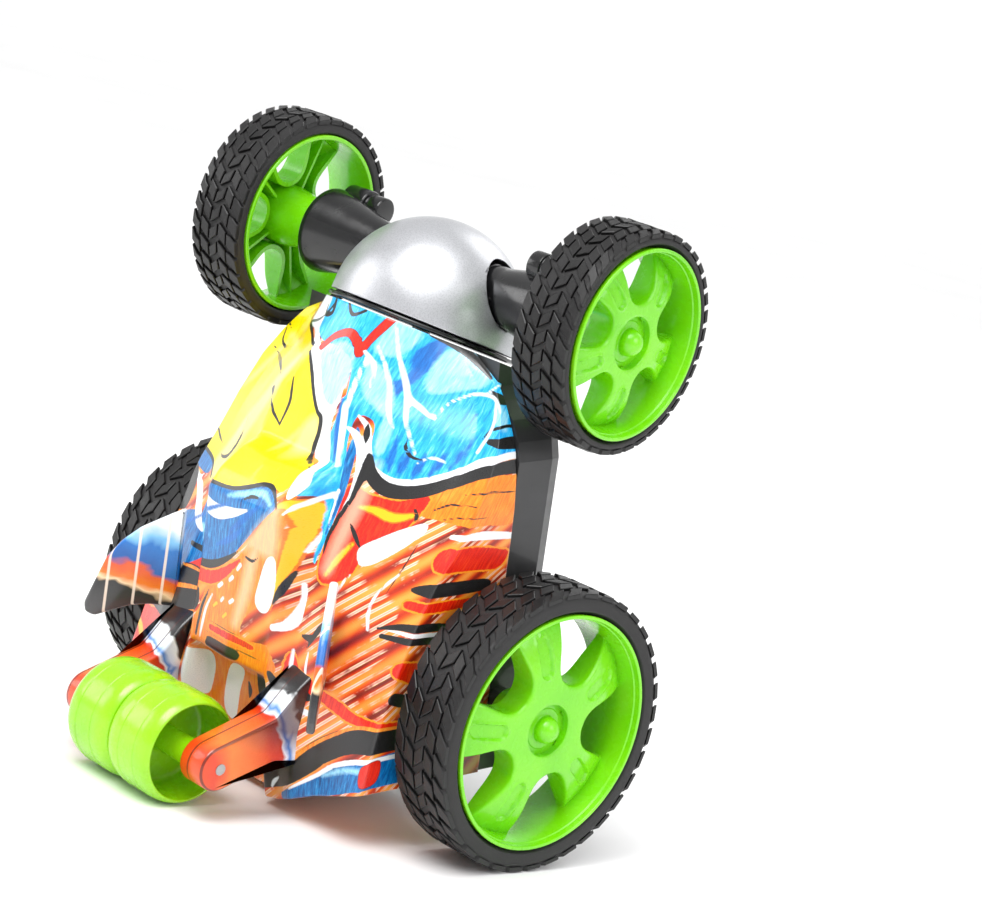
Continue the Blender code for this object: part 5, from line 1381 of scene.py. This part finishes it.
def make_arms_and_fins():
    arm_print = limb_material("printed_arm", ARM_BANDS, (0, -0.28, 0.96), 44.0, 40.0,
                              rgb(60, 14, 10))
    fin_print = limb_material("printed_fin", FIN_BANDS, (0, -1.0, 0.25), -22.0, 38.0,
                              rgb(250, 232, 214))
    slope = sqrt(0.5)
    parts = []
    for side_name, side in SIDES:
        middle = side * 24.85

        def arm_place(y, z, w):
            return middle + w, y, z

        def fin_place(y, h, w):
            return side * (32.4 + slope * h) + slope * w, y, 45.4 + slope * h - side * slope * w

        arm = slab("tail_arm_" + side_name, arm_outline(), 9.3, 1.1, arm_place, arm_print)
        fin = slab("tail_fin_" + side_name, FIN_OUTLINE, 2.2, 0.85, fin_place, fin_print)
        parts += [arm, fin]
    return parts


# ---------------------------------------------------------------- underside


def make_underside():
    """Moulded strengthening ribs and screw collars under the chassis."""
    floor_z = -13.5
    depth = 0.55
    edge = 0.25
    bars = []
    for side in (-1, 1):
        bars += [((side * 30, 31), (side * 30, 66)), ((side * 22, 29), (side * 34, 29)),
                 ((side * 36, 26), (side * 40, -6)), ((side * 20, -22), (side * 34, -12))]
        bars += [((side * (20 + 3.4 * i), 22), (side * (20 + 3.4 * i), 12)) for i in range(4)]
    bars += [((-16, -8), (16, -8)), ((-16, -12), (16, -12)), ((-14, -16), (14, -16))]
    bars += [((-12, 24), (12, 24)), ((-12, 28), (12, 28))]
    parts = []
    for start, end in bars:
        start, end = np.array(start, float), np.array(end, float)
        ahead = (end - start) / np.linalg.norm(end - start)
        across = np.array((-ahead[1], ahead[0]))
        rings = []
        for inset, low in ((0.0, 0.2), (0.0, edge - depth), (edge, -depth)):
            half = 0.75 - inset
            ring = []
            for centre, way, first in ((end, ahead, -pi / 2), (start, -ahead, -pi / 2)):
                for t in np.linspace(first, first + pi, 7):
                    turn = way * cos(t) + (across if way is ahead else -across) * sin(t)
                    ring.append((*(centre + turn * half), floor_z + low))
            rings.append(ring)
        count = len(rings[0])
        top = tuple(range(2 * count, 3 * count))
        parts.append((np.concatenate(rings), [top] + bands_between(2, count)))
    collar = rounded([(2.9, 0.2, 0), (2.9, -depth, 0.15), (4.3, -depth, 0.3), (4.3, 0.2, 0)], 0.2)
    for x, y in ((38, 50), (-38, 50), (27, -19.5), (-27, -19.5)):
        points, faces = lathe_mesh(collar, 40, True)
        parts.append((points + (x, y, floor_z), faces))
    points, faces = merged(parts)
    ribs = piece("underside_ribs", transformed(CAR, points * MM), faces,
                 black_gloss("rib_satin", 36, 0.36, 0.5), "car_body", 35.0)


# ---------------------------------------------------------------- parts carried over


def carry_over():
    """Gives each CAD node that stays its material, and rounds its edges a little."""
    deck = black_gloss("deck_black", 24, 0.22, 0.4)
    tray = black_gloss("tray_satin", 40, 0.38, 0.52)
    brass = metal("brass", rgb(214, 176, 96), rgb(176, 136, 66), 0.28)
    nylon = plain_plastic("nylon", rgb(236, 234, 226), rgb(222, 218, 208), 0.45)
    grey = plain_plastic("grey_plastic", rgb(74, 76, 80), rgb(58, 60, 64), 0.5)
    materials = {
        "chassis_tray": tray, "battery_door": deck, "power_switch": grey, "switch_body": deck,
        "roller_pin": STEEL, "front_axle": STEEL, "head_shaft": STEEL,
        "battery_pack": battery_wrap(), "circuit_board": circuit_board(), "twist_motor": STEEL,
        "twist_pinion": brass, "head_gear": nylon,
    }
    for side_name, _ in SIDES:
        materials.update({
            "axle_gear_" + side_name: nylon, "compound_gear_" + side_name: nylon,
            "drive_motor_" + side_name: STEEL, "gear_frame_" + side_name: grey,
            "gear_pin_" + side_name: STEEL, "motor_pinion_" + side_name: brass,
            "rear_axle_" + side_name: STEEL, "chassis_screw_front_" + side_name: STEEL,
            "chassis_screw_rear_" + side_name: STEEL,
        })
    for name, material in materials.items():
        node = frame["nodes"][name]
        node = node if isinstance(node, bpy.types.Object) else bpy.data.objects[name]
        for slot in node.material_slots:
            slot.material = material
        if name == "battery_door":  # its grip grooves are too close together for a bevel
            continue
        edges = node.modifiers.new("edges", "BEVEL")
        edges.width = (0.5 if name == "chassis_tray" else 0.15) * MM
        edges.segments = 2
        edges.limit_method = "ANGLE"
        edges.angle_limit = radians(40)


# ---------------------------------------------------------------- studio


def make_floor():
    """A pale floor that curves up into a backdrop far from the car."""
    sweep = [(3.0 + 1.2 * sin(a), 1.2 - 1.2 * cos(a)) for a in np.linspace(0, pi / 2, 16)]
    points, faces = lathe_mesh([(0.0, 0.0)] + sweep + [(4.2, 2.0)], 96, False)
    mesh = bpy.data.meshes.new("floor")
    mesh.from_pydata(points.tolist(), [], faces)
    mesh.shade_smooth()
    g = Graph("floor", roughness=0.6)
    g.set("Base Color", g.ramp(
        g.noise(9, 3), [(0.3, rgb(240, 240, 240)), (0.7, rgb(245, 245, 245))]))
    mesh.materials.append(g.material)
    floor = link(bpy.data.objects.new("floor", mesh))


def make_light(name, azimuth, elevation, distance, size, power):
    """A square light that looks at the middle of the car."""
    target = Vector((0, 0, 0.08))
    a, e = radians(azimuth), radians(elevation)
    away = Vector((sin(a) * cos(e), -cos(a) * cos(e), sin(e)))
    light = bpy.data.lights.new(name, "AREA")
    light.shape = "SQUARE"
    light.size = size
    light.energy = power
    obj = link(bpy.data.objects.new(name, light))
    obj.location = target + away * distance
    obj.rotation_mode = "QUATERNION"
    obj.rotation_quaternion = away.to_track_quat("Z", "Y")


def make_sun():
    """Broad soft daylight from above, which keeps the floor evenly pale."""
    light = bpy.data.lights.new("daylight", "SUN")
    light.energy = 1.5
    light.angle = radians(50)
    link(bpy.data.objects.new("daylight", light)).rotation_euler = (radians(24), radians(14), 0)


def make_world():
    world = bpy.data.worlds.new("studio")
    world.use_nodes = True
    background = world.node_tree.nodes["Background"]
    background.inputs["Color"].default_value = (1, 1, 1, 1)
    background.inputs["Strength"].default_value = 0.62
    bpy.context.scene.world = world
    bpy.context.scene.view_settings.view_transform = "Standard"


def make_camera():
    """The photo's view: the camera's place round the car, its tilt, and where it looks."""
    azimuth, elevation, roll = radians(44.14), radians(10.04), radians(13.34)
    back = Vector((sin(azimuth) * cos(elevation), -cos(azimuth) * cos(elevation), sin(elevation)))
    right = Vector((cos(azimuth), sin(azimuth), 0))
    up = back.cross(right)
    tilted_right = right * cos(roll) + up * sin(roll)
    tilted_up = up * cos(roll) - right * sin(roll)
    distance = 808.77 * MM
    target = Vector((0, CAR.translation.y, 60 * MM))
    target += tilted_right * 27.48 * MM + tilted_up * 28.89 * MM
    data = bpy.data.cameras.new("camera")
    data.sensor_width = 36.0
    data.lens = 109.69
    data.clip_start = 0.01
    camera = link(bpy.data.objects.new("camera", data))
    axes = Matrix((tilted_right, tilted_up, back)).transposed().to_4x4()
    camera.matrix_world = Matrix.Translation(target + back * distance) @ axes
    bpy.context.scene.camera = camera


# ---------------------------------------------------------------- assembly

LIME = lime_plastic()
ROLLER_LIME = lime_plastic("roller_lime", 26)
BLACK = black_gloss()
RUBBER_WALL = tyre_rubber("rubber_wall", 30, 0.6)
RUBBER_TREAD = tyre_rubber("rubber_tread", 12, 0.42)
SILVER = silver_paint()
STEEL = metal("bright_steel", rgb(205, 205, 205), rgb(150, 150, 152), 0.3)
SHELL_PRINT_AND_HIGHLIGHTS = shell_material()

make_camera()
make_world()
make_floor()
make_sun()
make_light("top_box", 10, 60, 1.0, 0.55, 6)
make_light("right_box", 100, 30, 1.1, 0.5, 3)
make_light("left_box", -50, 20, 1.1, 0.5, 2.5)
make_light("back_box", 190, 40, 1.2, 0.6, 3)
make_wheels()
make_rollers()
make_dome()
make_head_base()
make_housings()
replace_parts(make_shell(), "body_shell")
for limb in make_arms_and_fins():
    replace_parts(limb, "body_shell")
carry_over()
make_underside()
